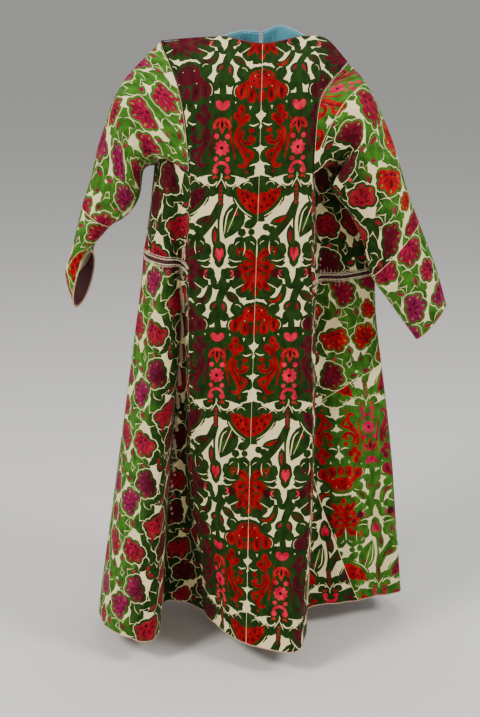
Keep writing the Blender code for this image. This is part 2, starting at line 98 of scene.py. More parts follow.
# Columns: station, underarm (x, y, z), waist, hip, knee, hem. The side sheets hang from the
# armholes, and their first and last stations are the seams of the back and of the front.
LEFT = (
    ("recess", (-.136, -.090, -.245), (-.141, -.081), (-.144, -.065), (-.152, -.040), (-.158, .005)),
    ("valley", (-.144, -.080, -.240), (-.151, -.075), (-.154, -.055), (-.178, -.030), (-.205, .000)),
    ("fold", (-.155, -.075, -.235), (-.161, -.080), (-.158, -.075), (-.185, -.100), (-.207, -.130)),
    ("ridge", (-.171, -.068, -.226), (-.182, -.090), (-.192, -.105), (-.212, -.140), (-.240, -.172)),
    ("side_back", (-.195, -.035, -.234), (-.214, -.050), (-.238, -.055), (-.272, -.088), (-.316, -.118)),
    ("side", (-.205, .010, -.250), (-.228, .010), (-.254, .008), (-.296, .010), (-.352, -.010)),
    ("side_front", (-.180, .055, -.250), (-.210, .060), (-.240, .070), (-.272, .092), (-.320, .120)),
)
RIGHT = (
    ("fold", (.116, -.085, -.250), (.122, -.085), (.126, -.085), (.127, -.110), (.116, -.130)),
    ("recess", (.122, -.045, -.250), (.134, -.045), (.132, -.035), (.131, -.035), (.125, -.025)),
    ("side_back", (.145, -.005, -.250), (.185, -.045), (.190, -.035), (.207, -.020), (.226, .010)),
    ("side", (.168, .030, -.250), (.240, .000), (.263, .010), (.303, .025), (.340, .060)),
    ("side_front", (.163, .062, -.250), (.220, .060), (.240, .080), (.275, .105), (.312, .150)),
)

# Where the cloth is gathered across each side: level at the back seam, the middle, the front seam.
GATHER_LEVEL = {"left": (4.16, 4.06, 4.10), "right": (4.35, 4.31, 4.25)}
STRIP_HALF = 0.03

# The right side is pieced: a sagging seam, then a gore beside the back seam.
PIECING_LEVEL = (5.86, 5.62, 5.32, 5.26)
# The gore's slanting seam: levels, and the station at each.
GORE_LEVELS = (5.94, 6.12, 6.52, 7)
GORE_STATIONS = (0.30, 2.00, 2.60, 3.12)

# Columns: section, outer end, inner end, half of the depth towards the back
LEFT_SLEEVE = (
    ("armpit", (-.267, -.010, -.084), (-.227, -.010, -.258), (.000, -.074, .000)),
    ("upper_arm", (-.315, -.010, -.196), (-.237, -.015, -.312), (.000, -.062, .000)),
    ("elbow", (-.338, -.010, -.278), (-.262, -.018, -.348), (.000, -.052, .000)),
    ("extension", (-.356, -.012, -.331), (-.297, -.020, -.371), (.000, -.045, .000)),
    ("forearm", (-.378, -.015, -.416), (-.325, -.020, -.403), (-.003, -.038, .000)),
    ("wrist", (-.393, -.018, -.474), (-.336, -.020, -.416), (-.008, -.033, .006)),
    ("cuff", (-.377, -.020, -.543), (-.338, -.020, -.424), (-.012, -.030, .010)),
)
RIGHT_SLEEVE = (
    ("piecing", (.225, -.016, -.086), (.176, -.016, -.250), (.000, -.080, .000)),
    ("upper_arm", (.270, -.042, -.177), (.151, -.062, -.280), (.000, -.062, .000)),
    ("above_elbow", (.303, -.055, -.274), (.192, -.072, -.337), (.000, -.049, .000)),
    ("elbow", (.318, -.060, -.316), (.223, -.072, -.403), (.000, -.045, .000)),
    ("extension", (.334, -.060, -.355), (.239, -.070, -.465), (.000, -.042, .000)),
    ("forearm", (.374, -.055, -.452), (.285, -.060, -.530), (.000, -.038, .000)),
    ("cuff", (.399, -.050, -.528), (.338, -.050, -.604), (.000, -.034, .000)),
)
# The stations of a side sheet between which the underside of the sleeve is sewn.
UNDER_SLEEVE = {"left": (4, 7), "right": (0, 6)}
RING = 18
RING_FINE = 72
HEAD_COLUMNS = 5
HEAD_DEPTH = 1.0
HEAD_TIP = 0.12
BEHIND = 13.5
SLEEVE_SET_OUT = 3.0 * MM


# ---------------------------------------------------------------- the form of the cloth

def weights(count, places, corners=()):
    """How much of each of count knots a smooth curve takes at each place, with corners at some knots."""
    table = np.zeros((len(places), count))
    stops = (0, *corners, count - 1)
    for row, place in zip(table, places):
        low = max(stop for stop in stops[:-1] if stop <= max(place, 0))
        high = min(stop for stop in stops if stop > low)
        first = min(int(place), high - 1)
        t = place - first
        four = (
            -0.5 * t + t**2 - 0.5 * t**3,
            1 - 2.5 * t**2 + 1.5 * t**3,
            0.5 * t + 2 * t**2 - 1.5 * t**3,
            -0.5 * t**2 + 0.5 * t**3,
        )
        for knot, weight in zip(range(first - 1, first + 3), four):
            if knot < low:
                row[low] += 2 * weight
                row[low + 1] -= weight
            elif knot > high:
                row[high] += 2 * weight
                row[high - 1] -= weight
            else:
                row[knot] += weight
    return table


def full_column(row, hem):
    heights = dict(LEVEL_HEIGHT)
    heights[HEM] = hem
    flat = [(*row[level + 1], heights[level]) for level in range(CHEST, HEM + 1)]
    return np.array([row[1], row[2], *flat])


def side_column(row):
    """A column of a side sheet. The rows above the underarm only carry on its slope."""
    below = np.array([row[1]] + [(*row[i + 2], LEVEL_HEIGHT[WAIST + i]) for i in range(4)])
    step = below[0] - below[1]
    return np.vstack([below[0] + 3 * step, below[0] + 2 * step, below[0] + step, below])


def build_sheets():
    sheets = {
        "back": [full_column(row, LEVEL_HEIGHT[HEM]) for row in BACK],
        "front_left": [full_column(row, FRONT_HEM) for row in FRONT_LEFT],
        "front_right": [full_column(row, FRONT_HEM) for row in FRONT_RIGHT],
    }
    for name, rows, seam in (("left", LEFT, 0), ("right", RIGHT, -1)):
        middle = [side_column(row) for row in rows]
        sheets[name] = [sheets["back"][seam], *middle, sheets["front_" + name][0]]
    return {name: np.array(columns) for name, columns in sheets.items()}


SHEETS = build_sheets()
LAST = {name: len(columns) - 1 for name, columns in SHEETS.items()}
OUTWARD = {"back": 1, "left": -1, "right": 1, "front_left": -1, "front_right": 1}
CORNERS = {"back": (2, 4), "front_left": (2,), "front_right": (2,)}
GRAIN = {"back": 3, "front_left": 4, "front_right": 4, "left": 5, "right": 4}


def sheet_points(sheet, us, vs):
    """The cloth's middle, one row of points for each level."""
    knots = np.einsum("vk,ckd->vcd", weights(8, vs), SHEETS[sheet])
    smooth = np.einsum("vcd,uc->vud", knots, weights(LAST[sheet] + 1, us))
    if sheet not in CORNERS:
        return smooth
    sharp = np.einsum("vcd,uc->vud", knots, weights(LAST[sheet] + 1, us, CORNERS[sheet]))
    near_top = np.clip(1 - np.asarray(vs), 0, 1)[:, None, None]
    return near_top * sharp + (1 - near_top) * smooth


def even(points, count):
    lengths = np.linalg.norm(np.diff(points, axis=0), axis=1)
    travelled = np.concatenate([[0], np.cumsum(lengths)])
    stops = np.linspace(0, travelled[-1], count + 1)[:-1]
    return np.stack([np.interp(stops, travelled, points[:, k]) for k in range(3)], axis=1)


def armhole(side, count):
    """The armhole from the shoulder down the back seam, under the arm and up the front seam."""
    station = 0 if side == "left" else LAST["back"]
    steps = np.linspace(0, 1, 41)
    start, end = UNDER_SLEEVE[side]
    down = sheet_points("back", [station], UNDERARM * steps)[:, 0]
    before = sheet_points(side, start * steps[1:], [UNDERARM])[0]
    under = sheet_points(side, start + (end - start) * steps, [UNDERARM])[0]
    after = sheet_points(side, end + (LAST[side] - end) * steps[:-1], [UNDERARM])[0]
    up = sheet_points("front_" + side, [0], UNDERARM * (1 - steps))[:, 0]
    if start:
        down = np.vstack([down, before])
    if end < LAST[side]:
        up = np.vstack([after, up])
    return np.vstack([even(part, count // 3) for part in (down, under, up)])


def past_edge(ring, before, distance):
    """A ring moved on in the cloth by a distance, square to its own line."""
    line = np.roll(ring, -1, axis=0) - np.roll(ring, 1, axis=0)
    line /= np.linalg.norm(line, axis=1, keepdims=True)
    way = ring - before
    way -= line * (way * line).sum(axis=1, keepdims=True)
    return ring + way * (distance / np.linalg.norm(way, axis=1, keepdims=True))


def sleeve_points(side, vs):
    """The sleeve cut open along its inner line: one row of points for each section."""
    rows = LEFT_SLEEVE if side == "left" else RIGHT_SLEEVE
    angles = np.linspace(0, 2 * math.pi, RING_FINE, endpoint=False)
    rings = []
    for _, outer, inner, depth in rows:
        outer, inner, depth = np.array(outer), np.array(inner), np.array(depth)
        centre = (outer + inner) / 2
        reach = outer - centre
        rings.append(centre + np.cos(angles)[:, None] * reach + np.sin(angles)[:, None] * depth)
    start = past_edge(armhole(side, RING_FINE), rings[0], -SLEEVE_SET_OUT)
    sections = np.array([start, *rings])
    sections = np.roll(sections, RING_FINE // 2, axis=1)
    sections = np.concatenate([sections, sections[:, :1]], axis=1)
    return np.einsum("vk,kud->vud", weights(8, vs), sections)


# ---------------------------------------------------------------- creases and gathers

# Soft folds: chart, from (station, level), to (station, level), half-width and height
# in mm. A negative height is a trough. A fold fades out towards both of its ends.
FOLDS = {
    "back": (
        ((0.6, 0.3), (0.9, 2.6), 12, 2.5), ((1.3, 1.0), (1.2, 3.6), 14, -2.0),
        ((5.3, 0.4), (5.2, 2.8), 12, 2.5), ((4.7, 1.2), (4.9, 3.4), 14, -2.2),
        ((2.2, 3.2), (2.0, 5.6), 16, -2.2), ((3.9, 3.6), (4.2, 6.2), 16, -2.4),
        ((1.0, 4.6), (0.8, 6.9), 14, 3.0), ((5.2, 4.8), (5.4, 7.0), 14, 3.2),
        ((2.4, 5.6), (2.3, 7.1), 18, 3.0), ((3.6, 5.9), (3.5, 7.1), 18, -2.8),
        ((4.5, 6.1), (4.6, 7.1), 16, 2.4), ((1.6, 6.0), (1.5, 7.1), 14, -2.6),
    ),
    "left": (
        ((4.2, 4.2), (4.0, 6.0), 10, 3.0), ((4.7, 4.15), (4.8, 5.6), 10, -3.0),
        ((5.4, 4.2), (5.5, 6.4), 12, 3.0), ((4.5, 5.4), (4.4, 7.0), 14, -4.0),
        ((5.0, 5.6), (5.2, 7.1), 16, 4.0), ((6.3, 4.2), (6.4, 6.8), 14, -4.0),
        ((7.0, 4.3), (7.1, 7.0), 16, 4.0), ((3.6, 5.6), (3.6, 7.1), 12, 2.6),
        ((4.2, 6.3), (4.1, 7.1), 10, 2.4), ((4.6, 3.1), (5.1, 4.0), 10, -2.5),
    ),
    "right": (
        ((2.7, 4.45), (2.6, 5.6), 10, -3.0), ((3.2, 4.4), (3.3, 5.5), 9, 3.0),
        ((3.6, 4.4), (3.8, 5.4), 9, -2.6), ((2.5, 5.4), (2.7, 7.0), 12, 3.0),
        ((3.3, 5.5), (3.5, 7.1), 14, -5.0), ((3.0, 5.9), (3.1, 7.1), 12, 4.0),
        ((3.8, 5.6), (4.0, 7.1), 14, 5.0), ((4.5, 4.6), (4.7, 6.9), 14, -4.0),
        ((5.2, 4.6), (5.3, 7.0), 14, 4.0), ((2.6, 5.62), (3.8, 5.42), 12, 3.5),
        ((2.4, 3.2), (3.2, 4.2), 12, -3.0),
    ),
    "front_left": (
        ((1.0, 3.2), (1.1, 6.8), 18, -3.5), ((2.2, 3.6), (2.1, 7.0), 18, 3.5),
        ((3.1, 4.4), (3.2, 7.0), 16, -3.0), ((0.6, 0.4), (1.6, 2.6), 16, -3.0),
    ),
    "front_right": (
        ((0.9, 3.0), (1.2, 6.9), 18, 3.5), ((2.0, 3.8), (1.9, 7.0), 18, -3.5),
        ((3.0, 4.2), (3.2, 7.0), 16, 3.0), ((0.7, 0.5), (1.8, 2.8), 16, -3.0),
    ),
    "left_sleeve": (
        ((12.0, 0.5), (11.2, 3.2), 10, 3.0), ((14.6, 0.2), (12.6, 2.2), 9, -3.0),
        ((16.0, 0.7), (14.6, 2.4), 8, 2.6), ((16.4, 2.4), (12.0, 3.7), 7, -2.6),
        ((15.4, 3.3), (11.2, 4.6), 7, 2.0), ((13.2, 4.4), (12.4, 6.4), 8, -2.4),
        ((4.0, 0.6), (4.6, 3.4), 12, -3.5), ((7.0, 0.6), (6.4, 3.6), 11, 3.0),
        ((3.0, 3.0), (6.4, 4.6), 8, 2.2),
    ),
    "right_sleeve": (
        ((12.4, 0.3), (12.0, 4.6), 11, 4.5), ((14.2, 0.6), (13.2, 3.4), 10, -4.5),
        ((16.2, 0.6), (14.6, 3.0), 9, 3.0), ((17.0, 1.8), (14.0, 4.4), 9, -3.2),
        ((15.8, 3.6), (13.0, 5.0), 8, 2.6), ((12.6, 4.8), (12.8, 6.6), 10, 2.4),
        ((4.0, 0.8), (4.8, 4.0), 12, -3.5), ((6.6, 0.8), (6.0, 4.6), 12, 3.0),
        ((3.4, 3.4), (6.6, 5.0), 8, 2.4),
    ),
}
GATHER_PITCH = 7.5 * MM
GATHER_DEPTH = 3.6 * MM
GATHER_REACH = 22 * MM
SEAM_SINK = 1.3 * MM
SEAM_REACH = 3.5 * MM
PUCKER = 0.5 * MM


def shake(place, seed):
    """A smooth uneven number from -1 to 1 along a line, to keep repeated forms from being regular."""
    waves = np.sin(2.1 * place + seed) + np.sin(5.3 * place + 2.7 * seed) + np.sin(0.9 * place + 1.3 * seed)
    return waves / 3


class Chart:
    """A sheet of cloth: its points and flat coordinates on a fine grid of stations and levels."""

    def __init__(self, name, us, vs, points, way, grain, gather=None, seams=()):
        self.name, self.us, self.vs = name, np.asarray(us), np.asarray(vs)
        rows = len(vs)
        column = int(np.argmin(abs(self.us - grain)))
        along = np.linalg.norm(np.diff(points, axis=1), axis=2)
        s = np.concatenate([np.zeros((rows, 1)), np.cumsum(along, axis=1)], axis=1)
        down = np.linalg.norm(np.diff(points, axis=0), axis=2)
        t = np.concatenate([np.zeros((1, points.shape[1])), np.cumsum(down, axis=0)])
        if name in CORNERS:
            blade = int(np.argmin(abs(self.vs - BLADE)))
            s[:blade] = s[blade]
            t = t - t[blade]
        else:
            blade = 0
        t[blade:] = t[blade:, column:column + 1]
        self.s, self.t = s - s[:, column:column + 1], t
        self.points = points
        self.normals = self.find_normals(way)
        if gather:
            self.gathers(gather)
        for fold in FOLDS[name]:
            self.fold(*fold)
        for station, low, high in seams:
            self.seam(station, low, high)
        self.normals = self.find_normals(way)

    def find_normals(self, way):
        crossed = np.cross(np.gradient(self.points, axis=0), np.gradient(self.points, axis=1))
        return crossed * (way / np.linalg.norm(crossed, axis=2, keepdims=True))

    def rows_columns(self, u, v):
        return (
            np.interp(v, self.vs, np.arange(len(self.vs))),
            np.interp(u, self.us, np.arange(len(self.us))),
        )

    def sample(self, values, rows, columns):
        """The values between four grid points."""
        j = np.clip(rows.astype(int), 0, len(self.vs) - 2)
        i = np.clip(columns.astype(int), 0, len(self.us) - 2)
        fj, fi = rows - j, columns - i
        if values.ndim == 3:
            fj, fi = fj[:, None], fi[:, None]
        top = values[j, i] * (1 - fi) + values[j, i + 1] * fi
        low = values[j + 1, i] * (1 - fi) + values[j + 1, i + 1] * fi
        return top * (1 - fj) + low * fj

    def flat(self, u, v):
        rows, columns = self.rows_columns(np.asarray(u, float), np.asarray(v, float))
        return np.stack([self.sample(self.s, rows, columns), self.sample(self.t, rows, columns)], axis=1)

    def at(self, u, v, lift=0.0):
        """The places in the robe of stations and levels, raised off the cloth's middle by lift."""
        rows, columns = self.rows_columns(np.asarray(u, float), np.asarray(v, float))
        return self.sample(self.points, rows, columns) + lift * self.sample(self.normals, rows, columns)

    def find(self, places):
        """Grid rows and columns of flat places, by stepping towards each from the nearest grid point."""
        step = 6
        some_s, some_t = self.s[::step, ::step], self.t[::step, ::step]
        rows, columns = np.zeros(len(places)), np.zeros(len(places))
        for first in range(0, len(places), 2000):
            part = places[first:first + 2000]
            away = (some_s.ravel() - part[:, :1]) ** 2 + (some_t.ravel() - part[:, 1:]) ** 2
            best = away.argmin(axis=1)
            rows[first:first + 2000] = best // some_s.shape[1] * step
            columns[first:first + 2000] = best % some_s.shape[1] * step
        for _ in range(9):
            rows = np.clip(rows, 0, len(self.vs) - 1)
            columns = np.clip(columns, 0, len(self.us) - 1)
            j = np.clip(rows.astype(int), 0, len(self.vs) - 2)
            i = np.clip(columns.astype(int), 0, len(self.us) - 2)
            miss_s = places[:, 0] - self.sample(self.s, rows, columns)
            miss_t = places[:, 1] - self.sample(self.t, rows, columns)
            sj, si = self.s[j + 1, i] - self.s[j, i], self.s[j, i + 1] - self.s[j, i]
            tj, ti = self.t[j + 1, i] - self.t[j, i], self.t[j, i + 1] - self.t[j, i]
            size = sj * ti - si * tj
            rows = rows + np.clip((ti * miss_s - si * miss_t) / size, -12, 12)
            columns = columns + np.clip((sj * miss_t - tj * miss_s) / size, -12, 12)
        rows = np.clip(rows, 0, len(self.vs) - 1)
        return rows, np.clip(columns, 0, len(self.us) - 1)

    def push(self, distance):
        self.points = self.points + self.normals * distance[:, :, None]

    def fold(self, start, end, half_width, height):
        (s0, t0), (s1, t1) = self.flat([start[0], end[0]], [start[1], end[1]])
        way = np.array([s1 - s0, t1 - t0])
        length = np.hypot(*way)
        way /= length
        travelled = ((self.s - s0) * way[0] + (self.t - t0) * way[1]) / length
        if end[1] >= HEM:
            travelled = np.minimum(travelled / 2, 0.5)
        wander = 0.35 * half_width * MM * shake(6 * travelled, s0 * 40 + t0 * 9)
        aside = (self.s - s0) * way[1] - (self.t - t0) * way[0] + wander
        fade = np.clip(np.sin(math.pi * np.clip(travelled, 0, 1)), 0, 1) ** 0.7
        self.push(height * MM * fade * np.exp(-((aside / (half_width * MM)) ** 2)))

    def gathers(self, level_of):
        """Close small pleats above and below the band, deepest at it, and slack cloth beyond them."""
        level = level_of(self.us)
        band = np.stack([np.interp(level, self.vs, self.t[:, i]) for i in range(len(self.us))])
        band = band.diagonal()
        away = self.t - band[None, :]
        phase = self.s / GATHER_PITCH * 2 * math.pi
        phase = phase + 1.6 * shake(self.s * 60, 2.0) + 12 * away
        near = np.exp(-((away / GATHER_REACH) ** 2))
        wide = np.exp(-((away / (3.2 * GATHER_REACH)) ** 2)) - near
        at_band = np.exp(-((away / (4 * MM)) ** 2))
        pleats = GATHER_DEPTH * (near - 0.7 * at_band) * np.sin(phase) * (0.7 + 0.3 * shake(self.s * 25, 5.0))
        slack = 2.2 * MM * wide * shake(self.s * 110, 1.0)
        self.push(pleats + slack)

    def seam(self, station, low, high):
        """The cloth drawn in along a seam that runs down a station, with slight puckers."""
        column = int(np.argmin(abs(self.us - station)))
        aside = abs(self.s - self.s[:, column:column + 1])
        inside = (self.vs >= low) & (self.vs <= high)
        near = np.exp(-((aside / SEAM_REACH) ** 2)) * inside[:, None]
        wide = np.exp(-((aside / (4 * SEAM_REACH)) ** 2)) * inside[:, None]
        self.push(-SEAM_SINK * near + PUCKER * wide * shake(self.t * 150, station))


def gather_of(side):
    knots = np.array(GATHER_LEVEL[side])
    return lambda us: weights(3, 2 * np.clip(np.asarray(us) / LAST[side], 0, 1)) @ knots


def build_charts():
    charts = {}
    for sheet in ("back", "front_left", "front_right"):
        us = np.linspace(0, LAST[sheet], 111 if sheet == "back" else 71)
        vs = np.unique(np.concatenate([np.linspace(0, 1, 19), np.linspace(1, 7, 330)]))
        seams = ((3, 0, 7),) if sheet == "back" else ()
        charts[sheet] = Chart(sheet, us, vs, sheet_points(sheet, us, vs), OUTWARD[sheet], GRAIN[sheet],
                              seams=seams)
    for side in ("left", "right"):
        us = np.linspace(0, LAST[side], 421)
        vs = np.linspace(UNDERARM, HEM, 330)
        charts[side] = Chart(side, us, vs, sheet_points(side, us, vs), OUTWARD[side], GRAIN[side],
                             gather_of(side))
        us = np.linspace(0, RING, RING_FINE + 1)
        vs = np.linspace(0, 7, 170)
        points = sleeve_points(side, vs)
        centres = points[:, :-1].mean(axis=1, keepdims=True)
        way = np.cross(np.gradient(points, axis=0), np.gradient(points, axis=1))
        sign = 1 if (way * (points - centres)).sum() > 0 else -1
        charts[side + "_sleeve"] = Chart(side + "_sleeve", us, vs, points, sign, BEHIND)
    return charts


# ---------------------------------------------------------------- the woven figures

REPEAT_ACROSS = 150.0
REPEAT_DOWN = 466.0
DRAWN_DOWN = 455.0
GROWN = 3.0
STEM_AXIS = REPEAT_ACROSS / 2


def disc(x, y, wide, high=None, points=12):
    angles = np.linspace(0, 2 * math.pi, points, endpoint=False)
    return np.stack([x + wide * np.cos(angles), y + (high or wide) * np.sin(angles)], axis=1)


def blossom(x, y, wide, high, petals, depth=0.18, turn=0.0):
    """A round outline with scalloped petals."""
    angles = np.linspace(0, 2 * math.pi, petals * 4, endpoint=False)
    reach = 1 - depth + depth * abs(np.sin(petals * (angles + turn) / 2)) ** 0.6
    return np.stack([x + wide * reach * np.cos(angles), y + high * reach * np.sin(angles)], axis=1)


def tuft(x, y, wide, high=None):
    """A small round green mass with a scalloped edge."""
    high = high or wide
    return blossom(x, y, wide, high, max(5, round((wide + high) / 4.5)), 0.13, 0.3)


def leaf(x0, y0, x1, y1, half, bend=0.0, points=7):
    """A pointed leaf from base to tip, widest nearer its base, bent to one side."""
    along = np.linspace(0, 1, points)[:, None]
    base, way = np.array([x0, y0]), np.array([x1 - x0, y1 - y0])
    side = np.array([-way[1], way[0]]) / np.hypot(*way)
    middle = base + along * way + bend * np.sin(math.pi * along) * side
    swell = half * np.sin(math.pi * along**0.85)
    return np.vstack([middle + swell * side, (middle - swell * side)[-2:0:-1]])


def ribbon(*knots, pieces=4):
    """A band of cloth colour along a smooth line of (x, y, half-width)."""
    knots = np.array(knots, float)
    places = np.linspace(0, len(knots) - 1, pieces * (len(knots) - 1) + 1)
    line = weights(len(knots), places) @ knots
    way = np.gradient(line[:, :2], axis=0)
    side = np.stack([-way[:, 1], way[:, 0]], axis=1) / np.hypot(*way.T)[:, None]
    half = np.maximum(line[:, 2:], 0.25)
    return np.vstack([line[:, :2] + side * half, (line[:, :2] - side * half)[::-1]])


def arch(x, y, reach, half, start, end):
    """A curved band round (x, y) between two angles in degrees, 0 to the right and 90 down."""
    angles = np.radians(np.linspace(start, end, 9))
    outer = np.stack([np.cos(angles), np.sin(angles)], axis=1)
    taper = 1 - 0.35 * abs(np.linspace(-1, 1, 9)[:, None]) ** 3
    spot = np.array([x, y])
    return np.vstack([spot + outer * (reach + half * taper), (spot + outer * (reach - half * taper))[::-1]])


def plain(*points):
    return np.array(points, float)


# Each figure: layer, dye, outline in mm from the flower's axis and down from the heart.
# Those of FLOWER are drawn on both sides of the axis.
FLOWER = (
    # the large flower with its crown of green lobes
    (1, "green", blossom(0, 316, 44, 46, 9, 0.12)),
    (1, "green", tuft(15, 266, 13, 15)), (1, "green", tuft(34, 266, 11, 13)),
    (1, "green", tuft(47, 279, 10, 12)), (1, "green", tuft(42, 294, 13, 9)),
    (1, "green", leaf(20, 307, 56, 305, 9)), (1, "green", tuft(53, 325, 12, 10)),
    (1, "green", tuft(38, 343, 14, 12)), (1, "green", tuft(25, 359, 13, 13)),
    (2, "flower", leaf(33, 272, 0, 303, 6)), (2, "flower", leaf(15, 274, 0, 312, 4.5)),
    (2, "flower", leaf(41, 270, 34, 292, 2.6)), (2, "flower", blossom(17, 319, 21, 22, 7, 0.25)),
    (2, "flower", disc(0, 322, 9, 21)), (2, "flower", leaf(8, 336, 30, 364, 6.5)),
    (2, "flower", leaf(1, 336, 12, 362, 6)), (2, "deep", blossom(38, 326, 9.5, 10, 6, 0.2)),
    (3, "pink", arch(52, 325, 5.5, 1.8, 90, 270)),
    (3, "green", leaf(6, 308, 20, 316, 2.2)), (3, "green", leaf(8, 330, 22, 322, 2.2)),
    (3, "green", disc(31, 312, 2.0)), (3, "deep", leaf(2, 316, 13, 325, 1.8)),
    (3, "ground", arch(15, 271, 10, 0.6, 200, 262)), (3, "ground", arch(34, 271, 9.5, 0.6, 278, 345)),
    (3, "ground", ribbon((25, 262, 0.3), (24, 276, 0.9), (27, 288, 0.3), pieces=3)),
    (3, "ground", ribbon((0, 268, 0.8), (0, 284, 1.3), (0, 296, 0.4), pieces=3)),
    (3, "ground", ribbon((56, 296, 0.4), (44, 301, 1.1), (30, 300, 0.3), pieces=3)),
    (3, "ground", ribbon((60, 312, 0.4), (48, 313, 1.0), (38, 310, 0.3), pieces=3)),
    (3, "ground", ribbon((55, 338, 0.4), (47, 336, 1.0), (44, 330, 0.3), pieces=3)),
    (3, "ground", ribbon((24, 346, 0.3), (34, 352, 1.0), (43, 357, 0.4), pieces=3)),
    (3, "deep", leaf(10, 288, 24, 278, 1.5)), (3, "deep", leaf(4, 296, 12, 282, 1.3)),
    (3, "deep", leaf(14, 342, 24, 358, 1.6)), (3, "deep", leaf(5, 342, 9, 356, 1.3)),
    (3, "green", leaf(22, 326, 32, 332, 1.4)), (3, "deep", blossom(20, 314, 4.5, 4.5, 5, 0.25)),
    # the bud under it
    (1, "green", leaf(0, 362, 17, 377, 6)), (1, "green", tuft(0, 366, 10, 10)),
    (2, "flower", disc(0, 365, 5.5, 7)),
    # the fan flower with its row of round petals
    (1, "green", tuft(35, 397, 13, 12)), (1, "green", tuft(0, 410, 33, 25)),
    (1, "green", tuft(40, 431, 15.5, 18)), (1, "green", tuft(19, 437, 14, 18)),
    (1, "green", tuft(0, 440, 11, 14)),
    (2, "flower", blossom(0, 407, 26, 18, 9, 0.2, 0.35)),
    (2, "flower", blossom(39, 431, 12, 14.5, 6, 0.16)), (2, "flower", blossom(19, 437, 10.5, 14.5, 5, 0.14)),
    (2, "flower", disc(0, 439, 7.5, 12)), (2, "flower", disc(27, 418, 9, 8)),
    (3, "deep", leaf(38, 422, 40, 440, 3)), (3, "deep", leaf(19, 428, 20, 446, 2.6)),
    (3, "deep", disc(8, 402, 2)), (3, "deep", disc(15, 410, 2)), (3, "deep", disc(0, 413, 2.4)),
    (3, "ground", disc(5, 396, 0.9, points=6)), (3, "ground", disc(13, 401, 0.9, points=6)),
    (3, "ground", disc(20, 421, 0.9, points=6)),
    (3, "green", ribbon((29, 422, 0.3), (28, 434, 1.1), (30, 448, 0.3), pieces=3)),
    (3, "green", ribbon((9, 428, 0.3), (9, 440, 1.1), (10, 450, 0.3), pieces=3)),
    (3, "green", arch(0, 412, 20, 0.9, 215, 325)), (3, "deep", leaf(0, 398, 12, 392, 1.2)),
    (3, "ground", arch(40, 431, 13.2, 0.5, 300, 400)), (3, "ground", arch(37, 397, 9, 0.6, 200, 290)),
    # the small flower of three lobes above the scroll
    (1, "green", tuft(38, 9, 14, 14)), (1, "green", tuft(50, 22, 12, 12)), (1, "green", tuft(24, 24, 13, 13)),
    (2, "flower", disc(38, 8, 7.5, 9)), (2, "flower", disc(46, 20, 7, 8)), (2, "flower", disc(28, 23, 8, 8)),
    (2, "flower", disc(37, 30, 8, 9)), (3, "green", leaf(32, 14, 40, 24, 1.6)),
    (1, "green", leaf(3, 2, 19, 13, 6.5)), (1, "green", leaf(5, 40, 12, 22, 4)),
    # the scrolls and the green they lie on
    (1, "green", tuft(40, 66, 33, 42)), (1, "green", tuft(15, 60, 16, 22)), (1, "green", tuft(14, 97, 12, 12)),
    (1, "green", tuft(38, 112, 28, 22)), (1, "green", tuft(24, 125, 12, 11)), (1, "green", tuft(9, 142, 9, 8)),
    (2, "flower", arch(25, 58, 13.5, 4.2, -55, 175)), (2, "flower", disc(17, 47, 5.5, 5)),
    (2, "flower", disc(20, 60, 4.5, 5.5)),
    (2, "flower", ribbon((40, 40, 3), (46, 50, 4.5), (46, 66, 4.5), (36, 84, 4.5), (27, 102, 4.2),
                         (31, 115, 4.2), (44, 112, 1.5))),
    (2, "flower", ribbon((37, 74, 1.5), (27, 84, 3.5), (14, 90, 3.5), (19, 101, 3), (24, 108, 1))),
    (1.5, "flower", ribbon((58, 22, 1), (61, 40, 2.4), (57, 60, 2.4), (52, 82, 2.0), (49, 100, 1), pieces=3)),
    (3, "deep", ribbon((43, 50, 0.4), (42, 66, 1.0), (32, 84, 1.0), (27, 98, 0.4), pieces=3)),
    (3, "flower", disc(26, 125, 3, points=8)),
    (3, "deep", arch(25, 58, 13.5, 0.9, -20, 150)), (3, "deep", disc(38, 8, 2.2, points=8)),
    (3, "deep", disc(46, 20, 2.0, points=8)), (3, "deep", disc(28, 23, 2.2, points=8)),
    (3, "ground", ribbon((0, 76, 0.6), (7, 80, 1.2), (13, 79, 0.4), pieces=3)),
    (3, "ground", ribbon((4, 110, 0.8), (12, 111, 1.6), (20, 114, 0.4), pieces=3)),
    (3, "ground", ribbon((2, 132, 0.8), (14, 134, 1.4), (24, 137, 0.4), pieces=3)),
    (3, "ground", ribbon((56, 132, 0.4), (46, 134, 1.0), (36, 136, 0.4), pieces=3)),
    (3, "ground", ribbon((22, 36, 0.4), (14, 38, 1.5), (4, 34, 0.6), pieces=3)),
    # the bowl full of seeds
    (1, "green", blossom(0, 172, 50, 30, 11, 0.12)), (1, "green", tuft(0, 190, 30, 26)),
    (1, "green", leaf(-12, 205, 12, 221, 7)),
    (2, "flower", plain((0, 170), (9, 164), (16, 167), (24, 158), (31, 161), (42, 154), (43, 166), (38, 179),
                        (30, 190), (18, 200), (8, 206), (0, 208))),
    (3, "seed", disc(11, 180, 2.5, 3, 8)), (3, "seed", disc(22, 173, 2.5, 3, 8)),
    (3, "seed", disc(33, 167, 2.3, 2.8, 8)), (3, "seed", disc(17, 191, 2.5, 3, 8)),
    (3, "seed", disc(28, 181, 2.4, 2.8, 8)), (3, "seed", disc(6, 195, 2.2, 2.8, 8)),
    (3, "ground", arch(22, 154, 9, 0.6, 200, 340)), (3, "ground", arch(44, 160, 8, 0.6, 200, 350)),
    (3, "ground", ribbon((48, 176, 0.4), (40, 190, 1.0), (27, 203, 1.0), (12, 212, 0.4), pieces=3)),
    (3, "deep", ribbon((40, 157, 0.3), (30, 164, 0.9), (18, 172, 0.3), pieces=3)),
)
